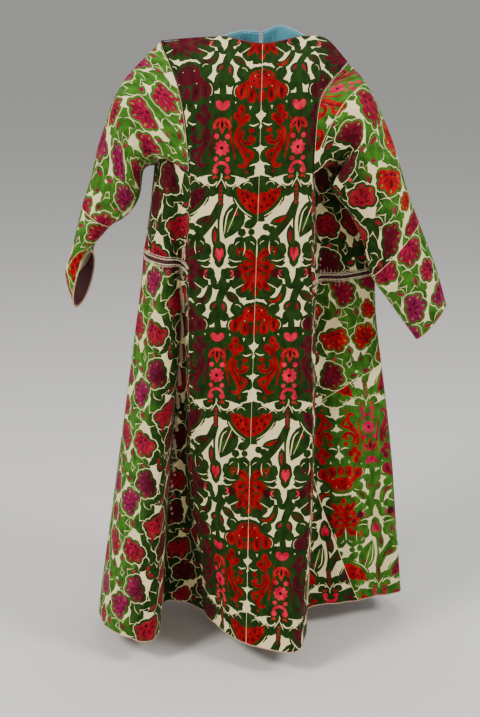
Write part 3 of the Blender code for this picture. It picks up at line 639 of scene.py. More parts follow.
# Those of STEM are drawn once, from the stem's axis.
STEM = (
    # the heart in its green cup
    (1, "green", tuft(-11, -6, 11, 12)), (1, "green", tuft(11, -6, 11, 12)), (1, "green", tuft(0, 4, 21, 13)),
    (1, "green", ribbon((0, -6, 5.5), (0, -24, 4), (-2, -44, 3.6), (1, -70, 4.5), (8, -92, 5.5),
                        (19, -108, 5))),
    (2, "pink", plain((0, -2.5), (4, -7), (9, -8.5), (13.5, -6), (14, 0), (11, 5), (6, 9), (0, 10.5),
                      (-6, 9), (-11, 5), (-14, 0), (-13.5, -6), (-9, -8.5), (-4, -7))),
    # the green the accents lie on
    (1, "green", tuft(0, 70, 30, 64)), (1, "green", tuft(-15, 138, 11, 12)), (1, "green", tuft(15, 138, 11, 12)),
    # the sprig
    (2, "salmon", arch(0, 42, 17, 2.4, 178, 362)), (2, "salmon", leaf(0, 24, 0, 55, 6)),
    (2, "salmon", leaf(-2, 24, -16, 46, 4)), (2, "salmon", leaf(2, 24, 16, 46, 4)),
    (3, "seed", leaf(0, 28, 0, 45, 2.6)), (3, "seed", leaf(-5, 30, -13, 41, 1.6)),
    (3, "seed", leaf(5, 30, 13, 41, 1.6)),
    # dots, daisy and dots
    (2, "pink", disc(-11, 58, 5.2)), (2, "pink", disc(11, 58, 5.2)),
    (2, "pink", blossom(0, 80, 15.5, 15.5, 9, 0.24)), (3, "seed", disc(0, 80, 3.4, points=8)),
    (2, "pink", disc(-11.5, 101, 4.6)), (2, "pink", disc(11.5, 101, 4.6)),
    # the arch with its ball ends and two feet
    (2, "pink", arch(0, 122, 14, 3.2, 175, 365)),
    (2, "pink", disc(-12, 124, 6)), (2, "pink", disc(12, 124, 6)),
    (2, "salmon", plain((-18, 140), (-16, 134), (-11, 132), (-7, 135), (-6, 140), (-12, 137))),
    (2, "salmon", plain((6, 140), (7, 135), (11, 132), (16, 134), (18, 140), (12, 137))),
    (3, "ground", ribbon((0, 128, 0.3), (0, 138, 0.8), (-7, 150, 0.9), (-10, 156, 0.4), pieces=3)),
    (3, "ground", ribbon((0, 138, 0.5), (6, 148, 0.9), (10, 157, 0.5), pieces=3)),
    (3, "ground", arch(-19, 141, 11, 1.5, 15, 160)), (3, "ground", arch(19, 141, 11, 1.5, 20, 165)),
    (1, "green", tuft(-19, 160, 13, 11)), (1, "green", tuft(19, 160, 13, 11)),
    # the beaded stem
    (2, "green", ribbon((0, 136, 8), (0, 156, 6.5), (0, 190, 5), (-3, 222, 2.4), (-1, 262, 2.2))),
    *((3, "rose", disc(0, 153 + 8.2 * bead, 3.3, points=9)) for bead in range(5)),
    # the slanting stem with its leaves and dots
    (1, "green", ribbon((0, 186, 5), (-10, 208, 5.5), (-26, 232, 5), (-46, 254, 6))),
    (2, "deep", ribbon((-12, 206, 0.5), (-20, 220, 2.2), (-30, 233, 0.5), pieces=3)),
    (1, "green", leaf(-49, 226, -14, 211, 6.5, 3)), (2, "flower", leaf(-44, 224, -19, 213, 3.6, 2)),
    (1, "green", tuft(-58, 234, 4.6)), (1, "green", tuft(-47, 239, 5)),
    # the big leaf with a dot, and small leaves and dots
    (1, "green", leaf(33, 184, 11, 254, 19, -5)), (1, "green", tuft(38, 198, 12, 12)),
    (3, "rose", disc(31, 206, 4.6)), (3, "leaf", leaf(26, 214, 14, 240, 6)),
    (3, "ground", ribbon((36, 188, 0.3), (27, 212, 0.7), (15, 243, 0.3), pieces=3)),
    (3, "ground", ribbon((24, 196, 0.5), (15, 206, 1.2), (11, 226, 1.2), (9, 246, 0.4), pieces=3)),
    (1, "green", leaf(50, 231, 72, 220, 6.5)), (1, "green", tuft(44, 243, 5.5)), (1, "green", tuft(63, 242, 4)),
    (1, "green", leaf(-10, 232, -8, 274, 5)), (2, "rose", leaf(-10, 238, -9, 266, 3)),
    # the pink bud in its cup
    (1, "green", tuft(0, 283, 11.5, 20)), (1, "green", leaf(0, 292, 0, 312, 7)),
    (2, "pink", plain((-8.5, 281), (-6, 274), (-2.5, 275), (0, 282), (2.5, 275), (6, 274), (8.5, 281), (8, 290),
                      (4, 295), (0, 303), (-4, 295), (-8, 290))),
    # the hook and the leaves at the fork
    (1, "green", ribbon((9, 318, 2), (10, 334, 3.8), (4, 348, 4.2), (-6, 351, 4), (-11, 338, 3.5),
                        (-15, 326, 2))),
    (1, "green", ribbon((-56, 374, 2), (-42, 384, 5), (-27, 380, 5.5), (-19, 364, 4), (-18, 350, 1.5))),
    (2, "flower", ribbon((-48, 380, 0.5), (-38, 384, 2.4), (-27, 378, 2.6), (-22, 366, 0.5))),
    (1, "green", leaf(16, 364, 43, 385, 7)), (2, "brown", leaf(20, 367, 38, 381, 3.6)),
    (1, "green", leaf(-15, 399, -1, 382, 5.5)), (2, "rose", leaf(-12, 396, -3, 386, 2.6)),
    (1, "green", leaf(8, 382, 14, 408, 5.5)), (2, "rose", leaf(9, 386, 13, 402, 2.8)),
    (1, "green", leaf(-1, 404, -17, 415, 6)), (1, "green", tuft(13, 414, 7.5, 7)),
    (1, "green", leaf(0, 398, 13, 410, 4)),
    (1, "green", leaf(-22, 428, -8, 418, 5)),
)


def fan(x, y, size, turn, dye="flower"):
    """A flower of five long petals in a scalloped green edge, opening towards turn, in degrees."""
    figures = [(1.4, "ground", disc(x, y, size * 0.40 + 1.4)), (1.5, "green", disc(x, y, size * 0.40)),
               (2, dye, blossom(x, y, size * 0.25, size * 0.25, 6, 0.2)),
               (3, "deep", disc(x, y, size * 0.09, points=8))]
    for lean, reach in ((-84, 0.66), (-43, 0.9), (0, 1.0), (43, 0.9), (84, 0.66)):
        way = math.radians(turn + lean)
        out = np.array([math.cos(way), math.sin(way)]) * size * reach
        spot = (x + 0.68 * out[0], y + 0.68 * out[1])
        figures.append((1.4, "ground", blossom(*spot, size * 0.38 + 1.4, size * 0.38 + 1.4, 5, 0.13, way)))
        figures.append((1.5, "green", blossom(*spot, size * 0.38, size * 0.38, 5, 0.13, way)))
        figures.append((2, dye, blossom(*spot, size * 0.265, size * 0.265, 5, 0.15, way)))
        figures.append((2, dye, leaf(x, y, x + 0.8 * out[0], y + 0.8 * out[1], size * 0.15)))
        figures.append((3, "deep", leaf(x + 0.2 * out[0], y + 0.2 * out[1], *spot, size * 0.035, points=5)))
        figures.append((3, "leaf", leaf(*spot, x + 0.9 * out[0], y + 0.9 * out[1], size * 0.05, points=5)))
    return figures


def sprig(x, y, size, turn):
    """Four broad green leaves on a stalk, one of them with a red middle."""
    figures = []
    for lean, reach in ((-62, 0.8), (-20, 1.1), (22, 1.1), (64, 0.8)):
        way = math.radians(turn + lean)
        tip = (x + size * reach * math.cos(way), y + size * reach * math.sin(way))
        figures.append((1.1, "ground", leaf(x, y, *tip, size * 0.22 + 1.5, size * 0.05, 6)))
        figures.append((1.2, "green", leaf(x, y, *tip, size * 0.22, size * 0.05, 6)))
        if lean > 60:
            middle = ((x + 4 * tip[0]) / 5, (y + 4 * tip[1]) / 5)
            figures.append((2, "rose", leaf((4 * x + tip[0]) / 5, (4 * y + tip[1]) / 5, *middle, size * 0.10)))
    return figures


# The second design, of the sleeves, side panels, left skirt and upper right skirt: scattered flowers
# and leaves on green stems. The table is in mm before it is enlarged by SPRAY_SCALE.
SPRAY_ACROSS = 150.0
SPRAY_DOWN = 196.0
SPRAY_SCALE = 1.22
# its greens spread further than the great design's, so that only narrow gaps of ground are left
SPRAY_GROWN = 3.4 * GROWN
SPRAY = (
    *fan(34, 34, 33, 250), *fan(106, 22, 34, 110, "other"),
    *fan(72, 88, 34, 300), *fan(20, 110, 33, 160, "other"),
    *fan(120, 118, 34, 60), *fan(52, 156, 33, 200, "other"), *fan(106, 178, 24, 320),
    *sprig(66, 44, 32, 20), *sprig(66, 10, 26, 200), *sprig(142, 62, 34, 120), *sprig(30, 66, 30, 60),
    *sprig(110, 62, 30, 160), *sprig(92, 128, 32, 150), *sprig(44, 122, 26, 20), *sprig(16, 150, 30, 100),
    *sprig(80, 176, 30, 80), *sprig(138, 160, 32, 20), *sprig(6, 190, 28, 20), *sprig(130, 90, 24, 260),
    (1, "green", ribbon((66, 0, 3), (70, 20, 4), (64, 44, 4.4), (56, 62, 4), (50, 84, 4.4), (52, 110, 4),
                        (44, 124, 3))),
    (1, "green", ribbon((128, 36, 3), (132, 56, 4.4), (122, 76, 4.4), (108, 92, 4.4), (98, 112, 4.4),
                        (90, 132, 4), (86, 158, 4.4), (92, 180, 3))),
    (1, "green", ribbon((6, 60, 3), (12, 78, 4.4), (8, 94, 3.6))),
    (1, "green", ribbon((146, 128, 3), (142, 146, 4.4), (134, 164, 4), (136, 190, 3))),
    (1, "green", ribbon((20, 136, 3), (24, 156, 4.4), (14, 176, 4), (20, 196, 3))),
    (1, "green", disc(88, 56, 4.6)), (1, "green", disc(4, 44, 4.6)), (1, "green", disc(70, 130, 4.4)),
    (1, "green", disc(36, 184, 5)), (2, "pink", disc(36, 184, 3)), (1, "green", disc(92, 4, 4.6)),
    (1, "green", disc(146, 4, 5)), (2, "rose", disc(146, 4, 3)), (2, "rose", disc(88, 56, 2.6)),
)


def grown(outline, by):
    """An outline moved outwards, so that neighbouring green figures leave only narrow gaps."""
    outline = counter_clockwise(outline)
    way = np.roll(outline, -1, axis=0) - np.roll(outline, 1, axis=0)
    side = np.stack([way[:, 1], -way[:, 0]], axis=1) / np.maximum(np.hypot(*way.T), 1e-9)[:, None]
    return outline + by * side


def counter_clockwise(outline):
    x, y = outline.T
    area = (x * np.roll(y, -1) - np.roll(x, -1) * y).sum()
    return outline if area > 0 else outline[::-1]


def repeats(low, high, shift, turned, spray):
    """Every figure that may reach the box from low to high, in metres, in painting order.

    shift is the place of a flower's axis and heart row, and turned is true for cloth cut upside down.
    """
    cell = np.array([REPEAT_ACROSS, REPEAT_DOWN]) * MM
    stretched = np.array([1, REPEAT_DOWN / DRAWN_DOWN])
    if spray:
        cell = np.array([SPRAY_ACROSS, SPRAY_DOWN]) * SPRAY_SCALE * MM
        stretched = np.array([SPRAY_SCALE, SPRAY_SCALE])
    sign = -1 if turned else 1
    corners = np.array([(np.array(low) - shift) / cell * sign, (np.array(high) - shift) / cell * sign])
    first = np.floor(corners.min(axis=0)).astype(int) - 1
    last = np.ceil(corners.max(axis=0)).astype(int) + 1
    drawn = []
    for column in range(first[0], last[0] + 1):
        for row in range(first[1], last[1] + 1):
            start = np.array([column, row + (0.5 * (column % 2) if spray else 0)]) * cell
            figures = [(layer, dye, outline) for layer, dye, outline in FLOWER]
            figures += [(layer, dye, outline * (-1, 1)) for layer, dye, outline in FLOWER]
            figures += [(layer, dye, outline + (STEM_AXIS, 0)) for layer, dye, outline in STEM]
            for layer, dye, outline in (SPRAY if spray else figures):
                if layer == 1:
                    outline = grown(outline, SPRAY_GROWN if spray else GROWN)
                placed = (start + outline * stretched * MM) * sign + shift
                if (placed.max(axis=0) > low).all() and (placed.min(axis=0) < high).all():
                    drawn.append((layer, dye, column % 2, placed))
    return sorted(drawn, key=lambda figure: figure[0])


# ---------------------------------------------------------------- colours and materials

def from_hex(code):
    """An sRGB hex colour in linear light."""
    parts = [int(code[i:i + 2], 16) / 255 for i in (1, 3, 5)]
    return tuple(p / 12.92 if p <= 0.04045 else ((p + 0.055) / 1.055) ** 2.4 for p in parts)


# Copies of the pile's dyes with painted light: the darker one stands for pile that faces the eye or lies in
# shade, the lighter ones paint the sheen where it turns to the light, and the last of them has scarlet flowers.
SHADED_PILE = {
    "green": "#1A340B", "leaf": "#2C5212", "flower": "#8E000A", "other": "#4C0516", "deep": "#3A0508",
    "pink": "#CC0036", "salmon": "#AE141E", "rose": "#8A0C22", "seed": "#120703", "brown": "#42160A",
}
SHEEN_LIT_PILE = {
    "green": "#3A6A1C", "leaf": "#548A2C", "flower": "#8C0A32", "other": "#801042", "deep": "#48081C",
    "pink": "#BC0A44", "salmon": "#A4222A", "rose": "#841034", "seed": "#22120A", "brown": "#56260F",
}
SHEEN_LIT_RED_PILE = dict(SHEEN_LIT_PILE, flower="#A40410", other="#800A28")
GROUND = "#F6E4AA"
CREAM = from_hex(GROUND)
PILES = {name: {dye: from_hex(code) for dye, code in dyes.items()}
         for name, dyes in (("deep", SHADED_PILE), ("lit", SHEEN_LIT_PILE), ("red", SHEEN_LIT_RED_PILE))}


def nodes_of(name):
    made = bpy.data.materials.new(name)
    made.use_nodes = True
    tree = made.node_tree
    return made, tree, tree.nodes["Principled BSDF"]


def add(tree, kind, links=(), **settings):
    """A node with its settings, fed by (input, source socket or value) pairs."""
    node = tree.nodes.new(kind)
    for key, value in settings.items():
        setattr(node, key, value)
    for key, source in links:
        if isinstance(source, bpy.types.NodeSocket):
            tree.links.new(source, node.inputs[key])
        else:
            node.inputs[key].default_value = source
    return node


def cloth_place(tree, across, down):
    """The cloth's own flat coordinates, in metres, scaled across and down."""
    flat = add(tree, "ShaderNodeUVMap", uv_map="flat")
    return add(tree, "ShaderNodeMapping", [("Vector", flat.outputs["UV"]), ("Scale", (across, down, 1))])


def cut_pile():
    """Cut silk pile: matt and dark seen straight on, with a soft glow where it turns away."""
    made, tree, shader = nodes_of("cut_silk_pile")
    dye = add(tree, "ShaderNodeAttribute", attribute_name="dye")
    nap_and_sheen = add(tree, "ShaderNodeTexNoise", [
        ("Vector", cloth_place(tree, 70, 38).outputs["Vector"]), ("Scale", 1.0), ("Detail", 5.0)])
    tufts = add(tree, "ShaderNodeTexNoise", [
        ("Vector", cloth_place(tree, 900, 420).outputs["Vector"]), ("Scale", 1.0), ("Detail", 2.0)])
    shade = add(tree, "ShaderNodeMapRange", [
        ("Value", nap_and_sheen.outputs["Fac"]), ("From Min", 0.3), ("From Max", 0.7), ("To Min", 0.5),
        ("To Max", 1.5)])
    fine = add(tree, "ShaderNodeMapRange", [
        ("Value", tufts.outputs["Fac"]), ("From Min", 0.25), ("From Max", 0.75), ("To Min", 0.6),
        ("To Max", 1.4)])
    both = add(tree, "ShaderNodeMath", [(0, shade.outputs[0]), (1, fine.outputs[0])], operation="MULTIPLY")
    mixed = add(tree, "ShaderNodeVectorMath", [
        (0, dye.outputs["Color"]), ("Scale", both.outputs[0])], operation="SCALE")
    tree.links.new(mixed.outputs[0], shader.inputs["Base Color"])
    rise = add(tree, "ShaderNodeBump", [
        ("Height", tufts.outputs["Fac"]), ("Distance", 0.0006), ("Strength", 0.6)])
    tree.links.new(rise.outputs[0], shader.inputs["Normal"])
    shader.inputs["Roughness"].default_value = 0.82
    shader.inputs["Specular IOR Level"].default_value = 0.1
    shader.inputs["Sheen Weight"].default_value = 0.07
    shader.inputs["Sheen Roughness"].default_value = 0.38
    shader.inputs["Sheen Tint"].default_value = (0.95, 0.80, 0.68, 1)
    return made


def woven(name, code, across, down, roughness, contrast=0.12, sheen=0.1):
    """Flat woven cloth: threads across and down that show as a fine, slightly uneven grid."""
    made, tree, shader = nodes_of(name)
    warp = add(tree, "ShaderNodeTexNoise", [
        ("Vector", cloth_place(tree, across, down / 9).outputs["Vector"]), ("Scale", 1.0), ("Detail", 1.0)])
    weft = add(tree, "ShaderNodeTexNoise", [
        ("Vector", cloth_place(tree, across / 9, down).outputs["Vector"]), ("Scale", 1.0), ("Detail", 1.0)])
    threads = add(tree, "ShaderNodeMath", [(0, warp.outputs["Fac"]), (1, weft.outputs["Fac"])], operation="ADD")
    worn = add(tree, "ShaderNodeTexNoise", [
        ("Vector", cloth_place(tree, 14, 14).outputs["Vector"]), ("Scale", 1.0), ("Detail", 4.0)])
    sum_all = add(tree, "ShaderNodeMath", [(0, threads.outputs[0]), (1, worn.outputs["Fac"])], operation="ADD")
    shade = add(tree, "ShaderNodeMapRange", [
        ("Value", sum_all.outputs[0]), ("From Min", 1.0), ("From Max", 2.0), ("To Min", 1 - 2 * contrast),
        ("To Max", 1 + contrast)])
    toned = add(tree, "ShaderNodeVectorMath", [(0, from_hex(code)), ("Scale", shade.outputs[0])],
                operation="SCALE")
    tree.links.new(toned.outputs[0], shader.inputs["Base Color"])
    rise = add(tree, "ShaderNodeBump", [
        ("Height", threads.outputs[0]), ("Distance", 0.0003), ("Strength", 0.5)])
    tree.links.new(rise.outputs[0], shader.inputs["Normal"])
    shader.inputs["Roughness"].default_value = roughness
    shader.inputs["Sheen Weight"].default_value = sheen
    return made


def twisted(name, code, turns=900):
    """Cord of two twisted yarns: slanting bands along it."""
    made, tree, shader = nodes_of(name)
    bands = add(tree, "ShaderNodeTexWave", [
        ("Vector", cloth_place(tree, 260, turns).outputs["Vector"]), ("Scale", 1.0), ("Distortion", 0.8)],
        bands_direction="DIAGONAL")
    shade = add(tree, "ShaderNodeMapRange", [
        ("Value", bands.outputs["Fac"]), ("To Min", 0.72), ("To Max", 1.1)])
    toned = add(tree, "ShaderNodeVectorMath", [(0, from_hex(code)), ("Scale", shade.outputs[0])],
                operation="SCALE")
    tree.links.new(toned.outputs[0], shader.inputs["Base Color"])
    shader.inputs["Roughness"].default_value = 0.75
    shader.inputs["Sheen Weight"].default_value = 0.15
    return made


# ---------------------------------------------------------------- pieces

CUT_PILE = cut_pile()
# The bare ground between the figures: silk and cotton weave with a slight lustre.
GROUND_WEAVE = woven("cream_ground_weave", GROUND, 2400, 2000, 0.62, 0.10)
# The reverse shows the ground's cotton side, plain and duller.
REVERSE = woven("cotton_reverse", "#B9A286", 1800, 1500, 0.9, 0.14)
LINING = woven("turquoise_lining", "#62B4CC", 1600, 1400, 0.55, 0.16)
GATHER_SILK = woven("dark_red_silk", "#4A0C12", 1800, 400, 0.6, 0.3)
PIPING = twisted("cream_piping_cord", "#DCCBA8")
HEM_CORD = twisted("pale_edge_cord", "#CFA58A")
NECK_BINDING = woven("dark_red_binding", "#5A1418", 1500, 1500, 0.8, 0.3)

GRID_STEP = 9.0 * MM
INNER_STEP = 14.0 * MM
FINE_STEP = 2.4 * MM
EDGE_STEP = 6.0 * MM
THREAD_WIDTH = 0.55 * MM


def polyline(chart, path):
    """The flat outline through (station, level) points, stepped evenly."""
    line = []
    for (u0, v0), (u1, v1) in zip(path, path[1:] + path[:1]):
        ends = chart.flat([u0, u1], [v0, v1])
        steps = max(int(np.hypot(*(ends[1] - ends[0])) / EDGE_STEP), 1)
        share = np.linspace(0, 1, steps, endpoint=False)
        line.append(np.stack([u0 + (u1 - u0) * share, v0 + (v1 - v0) * share], axis=1))
    return np.vstack(line)


def inside(places, outline):
    """Which flat places lie inside an outline."""
    found = np.zeros(len(places), bool)
    x, y = places.T
    for (x0, y0), (x1, y1) in zip(outline, np.roll(outline, -1, axis=0)):
        crosses = (y0 > y) != (y1 > y)
        if crosses.any():
            found ^= crosses & (x < (x1 - x0) * (y - y0) / ((y1 - y0) or 1e-12) + x0)
    return found


def grid_inside(outline, step):
    low, high = outline.min(axis=0), outline.max(axis=0)
    across, down = (np.arange(low[k] + step / 2, high[k], step) for k in (0, 1))
    xs, ys = np.meshgrid(across, down)
    xs[1::2] += step / 2
    places = np.stack([xs.ravel(), ys.ravel()], axis=1)
    return places[inside(places, outline)]


def seam_strip(flat_line, width):
    """A narrow strip inside the outline along part of it, as for a line of thread."""
    way = np.gradient(flat_line, axis=0)
    side = np.stack([-way[:, 1], way[:, 0]], axis=1) / np.hypot(*way.T)[:, None]
    return np.vstack([flat_line, (flat_line + side * width)[::-1]])


def carved(outline, figures, more):
    """Triangles of the flat piece, each with the number of the topmost figure over it."""
    spots, edges, faces = [], [], []
    for shape in [outline] + [figure[-1] for figure in figures]:
        start = len(spots)
        spots += [Vector(place) for place in counter_clockwise(shape)]
        faces.append(list(range(start, len(spots))))
    spots += [Vector(place) for place in more]
    made = delaunay_2d_cdt(spots, edges, faces, 0, 1e-6)
    places = np.array([tuple(place) for place in made[0]])
    kept = [(face, max(origin)) for face, origin in zip(made[2], made[5]) if 0 in origin]
    return places, np.array([face for face, _ in kept]), np.array([top for _, top in kept])


def to_object(name, places, faces, smooth, materials, kinds, dyes, flats):
    mesh = bpy.data.meshes.new(name)
    mesh.from_pydata(places.tolist(), [], faces)
    for made in materials:
        mesh.materials.append(made)
    mesh.polygons.foreach_set("material_index", np.asarray(kinds, np.int32))
    mesh.polygons.foreach_set("use_smooth", np.ones(len(faces), bool))
    corners = np.zeros(len(mesh.loops), np.int32)
    mesh.loops.foreach_get("vertex_index", corners)
    flat = mesh.uv_layers.new(name="flat")
    flat.data.foreach_set("uv", np.asarray(flats, np.float32)[corners].ravel())
    if dyes is not None:
        counts = [len(face) for face in faces]
        colour = mesh.color_attributes.new("dye", "FLOAT_COLOR", "CORNER")
        values = np.repeat(np.asarray(dyes, np.float32), counts, axis=0)
        colour.data.foreach_set("color", np.hstack([values, np.ones((len(values), 1), np.float32)]).ravel())
    if smooth is not None:
        mesh.normals_split_custom_set_from_vertices(smooth.tolist())
    placed = bpy.data.objects.new(name, mesh)
    bpy.context.scene.collection.objects.link(placed)
    return placed


def velvet_piece(node, chart, path, shift, turned, lit_and_shaded_piles, seams=(), painted_sheen_span=(0, 0),
                 spray=False):
    """A cut piece of the velvet with its figures, reverse and edge.

    shift is the flat place of a flower's axis and heart row in mm. seams are the stretches of path
    that are sewn, each by the numbers of its first and last corner. The two pile names pick a darker and
    a lighter copy of the dyes, painted shade and painted sheen, and the colour changes over from the first
    to the second between the two places across given for the painted sheen.
    pile stands and where it is brushed, which change over from nap's first to its second place across.
    """
    corners_uv = polyline(chart, path)
    outline = chart.flat(*corners_uv.T)
    low, high = outline.min(axis=0), outline.max(axis=0)
    figures = repeats(low, high, np.array(shift) * MM, turned, spray)
    flipped = counter_clockwise(outline) is not outline
    for first, last in seams:
        ends = chart.flat([path[first][0], path[last][0]], [path[first][1], path[last][1]])
        starts = [int(np.hypot(*(outline - end).T).argmin()) for end in ends]
        run = np.arange(starts[0], (starts[1] if starts[1] > starts[0] else len(outline)) + 1) % len(outline)
        strip = seam_strip(outline[run], THREAD_WIDTH * (1 if not flipped else -1))
        figures.append((9, "thread", 0, strip))
    more = grid_inside(outline, GRID_STEP)
    if chart.name in GATHER_LEVEL:
        level = gather_of(chart.name)(corners_uv[:, 0]).mean()
        band = chart.flat([0], [level])[0, 1]
        fine = grid_inside(outline, FINE_STEP)
        more = np.vstack([more, fine[abs(fine[:, 1] - band) < 1.6 * GATHER_REACH]])
    places, faces, tops = carved(outline, figures, more)
    rows, columns = chart.find(places)
    outer = chart.sample(chart.points, rows, columns)
    normals = chart.sample(chart.normals, rows, columns)
    normals /= np.linalg.norm(normals, axis=1, keepdims=True)
    pile = []
    kinds = []
    for top in tops:
        _, dye, odd, _ = figures[top - 1] if top else (0, "ground", 0, None)
        if dye == "flower" and odd and not spray:
            dye = "other"
        kinds.append(1 if dye in ("ground", "thread") else 0)
        # the scattered flowers are crimson, not scarlet, in the darker pile copy that paints shade
        crimson = spray and dye == "flower"
        pile.append([PILES[name].get("rose" if crimson and name == "deep" else dye, CREAM) for name in lit_and_shaded_piles])
    pile = np.array(pile)
    # Painted sheen and shade: across the piece the colour moves from the first pile copy to the second, along a
    # wavering line.
    middle_s = places[faces, 0].mean(axis=1) + 12 * MM * shake(places[faces, 1].mean(axis=1) * 30, 1.0)
    nap_and_sheen = np.clip((middle_s - painted_sheen_span[0] * MM) / ((painted_sheen_span[1] - painted_sheen_span[0]) * MM or 1.0), 0, 1)[:, None]
    nap_and_sheen = nap_and_sheen * nap_and_sheen * (3 - 2 * nap_and_sheen)
    pile = pile[:, 0] * (1 - nap_and_sheen) + pile[:, 1] * nap_and_sheen
    first, second, third = (outer[faces[:, k]] for k in range(3))
    facing = (np.cross(second - first, third - first) * normals[faces[:, 0]]).sum()
    if facing < 0:
        faces = faces[:, ::-1]
    inner_places, inner_faces, _ = carved(outline, [], grid_inside(outline, INNER_STEP))
    rows, columns = chart.find(inner_places)
    inner_normals = chart.sample(chart.normals, rows, columns)
    inner = chart.sample(chart.points, rows, columns) - CLOTH * inner_normals
    if facing > 0:
        inner_faces = inner_faces[:, ::-1]
    rim = counter_clockwise(outline)
    rows, columns = chart.find(rim)
    rim_out = chart.sample(chart.points, rows, columns)
    rim_in = rim_out - CLOTH * chart.sample(chart.normals, rows, columns)
    count, inner_count, rim_count = len(places), len(inner_places), len(rim)
    start = count + inner_count
    quads = []
    for k in range(rim_count):
        after = (k + 1) % rim_count
        quad = (start + k, start + rim_count + k, start + rim_count + after, start + after)
        quads.append(quad if facing > 0 else quad[::-1])
    everything = np.vstack([outer, inner, rim_out, rim_in])
    all_faces = faces.tolist() + (inner_faces + count).tolist() + quads
    rim_normals = np.vstack([chart.sample(chart.normals, rows, columns)] * 2)
    all_normals = np.vstack([normals, -inner_normals, rim_normals])
    all_kinds = kinds + [2] * len(inner_faces) + [0] * len(quads)
    all_dyes = np.vstack([pile, np.tile(PILES["deep"]["green"], (len(inner_faces) + len(quads), 1))])
    flats = np.vstack([places, inner_places, rim, rim])
    placed = to_object(node + "_cloth", everything, all_faces, all_normals,
                       (CUT_PILE, GROUND_WEAVE, REVERSE), all_kinds, all_dyes, flats)
    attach(placed, "root")
    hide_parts(node)
    area = np.linalg.norm(np.cross(second - first, third - first), axis=1).sum() / 2
    size = (high - low) * max(1.0, math.sqrt(area / (high - low).prod()))
    min(max(area, 0.31 * size.prod()), size.prod())
    return placed


def grid_piece(node, name, grid, thickness, made, closed=False):
    """A plain cloth piece from a grid of points: face, reverse and edge."""
    rows, columns = grid.shape[:2]
    normals = np.cross(np.gradient(grid, axis=0), np.gradient(grid, axis=1))
    normals /= np.linalg.norm(normals, axis=2, keepdims=True)
    steps_along = np.linalg.norm(np.diff(grid, axis=1), axis=2)
    steps_down = np.linalg.norm(np.diff(grid, axis=0), axis=2)
    along = np.concatenate([np.zeros((rows, 1)), np.cumsum(steps_along, axis=1)], axis=1)
    down = np.concatenate([np.zeros((1, columns)), np.cumsum(steps_down, axis=0)])
    flats = np.stack([along, down], axis=2).reshape(-1, 2)
    near = (grid + normals * thickness / 2).reshape(-1, 3)
    far = (grid - normals * thickness / 2).reshape(-1, 3)
    count = rows * columns
    faces = []
    for j in range(rows - 1):
        for i in range(columns - 1):
            a, b = j * columns + i, j * columns + i + 1
            c, d = b + columns, a + columns
            faces.append((a, d, c, b))
            faces.append((a + count, b + count, c + count, d + count))
    border = [i for i in range(columns)] + [j * columns + columns - 1 for j in range(1, rows)]
    border += [(rows - 1) * columns + i for i in range(columns - 2, -1, -1)]
    border += [j * columns for j in range(rows - 2, 0, -1)]
    for a, b in zip(border, border[1:] + border[:1]):
        faces.append((a, b, b + count, a + count))
    placed = to_object(name, np.vstack([near, far]), faces, None, (made,), [0] * len(faces), None,
                       np.vstack([flats, flats]))
    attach(placed, "root")
    if node:
        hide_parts(node)
    return placed


def cord_piece(name, line, radius, made, node="", closed=False, sides=8):
    """A cord along a line of points, its skin in the cord's own flat coordinates."""
    line = np.asarray(line)
    if closed:
        way = np.roll(line, -1, axis=0) - np.roll(line, 1, axis=0)
    else:
        way = np.gradient(line, axis=0)
    way /= np.linalg.norm(way, axis=1, keepdims=True)
    lift = np.array([0.31, 0.87, 0.38])
    side = np.cross(way, lift)
    side /= np.linalg.norm(side, axis=1, keepdims=True)
    up = np.cross(side, way)
    angles = np.linspace(0, 2 * math.pi, sides, endpoint=False)
    round_it = np.cos(angles)[:, None] * side[:, None] + np.sin(angles)[:, None] * up[:, None]
    skin = line[:, None] + radius * round_it
    gaps = np.linalg.norm(np.diff(line, axis=0), axis=1)
    travelled = np.concatenate([[0], np.cumsum(gaps)])
    flats = np.stack([np.tile(angles * radius, len(line)), np.repeat(travelled, sides)], axis=1)
    faces = []
    for j in range(len(line) if closed else len(line) - 1):
        for i in range(sides):
            k, after = (i + 1) % sides, (j + 1) % len(line)
            faces.append((j * sides + i, j * sides + k, after * sides + k, after * sides + i))
    if not closed:
        faces += [tuple(range(sides))[::-1], tuple(range((len(line) - 1) * sides, len(line) * sides))]
    placed = to_object(name + "_cord", skin.reshape(-1, 3), faces, None, (made,), [0] * len(faces), None, flats)
    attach(placed, "root")
    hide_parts(node or name)
    return placed


# ---------------------------------------------------------------- the robe

CHARTS = build_charts()


def stretch(start, end, level_of):
    """Path points from one station to another along a level that may change."""
    return [(u, float(level_of(u))) for u in np.linspace(start, end, 25)]


def rectangle(first, last, top=0.0, low=7.0):
    return [(first, top), (last, top), (last, low), (first, low)]


def make_body():
    back = CHARTS["back"]
    # The back takes the darker pile copy, painted shade; the fronts take the lighter one, painted sheen.
    velvet_piece("back_left", back, rectangle(0, 3), (0, 66), False, ("deep", "deep"), [(1, 2)])
    velvet_piece("back_right", back, rectangle(3, 6), (0, 64), False, ("deep", "deep"), [(3, 0)])
    for side in ("left", "right"):
        name = "front_" + side
        velvet_piece(name, CHARTS[name], rectangle(0, 4), (-75, 60), False, ("lit", "lit"))


def piecing_level(us):
    return weights(4, 3 * np.clip(np.asarray(us, float) / LAST["right"], 0, 1)) @ np.array(PIECING_LEVEL)


def gore_edge(v):
    return float(np.interp(v, GORE_LEVELS, GORE_STATIONS))


SIDE_TOP_SHIFT = {"left": (12, 461), "right": (-57, 399)}


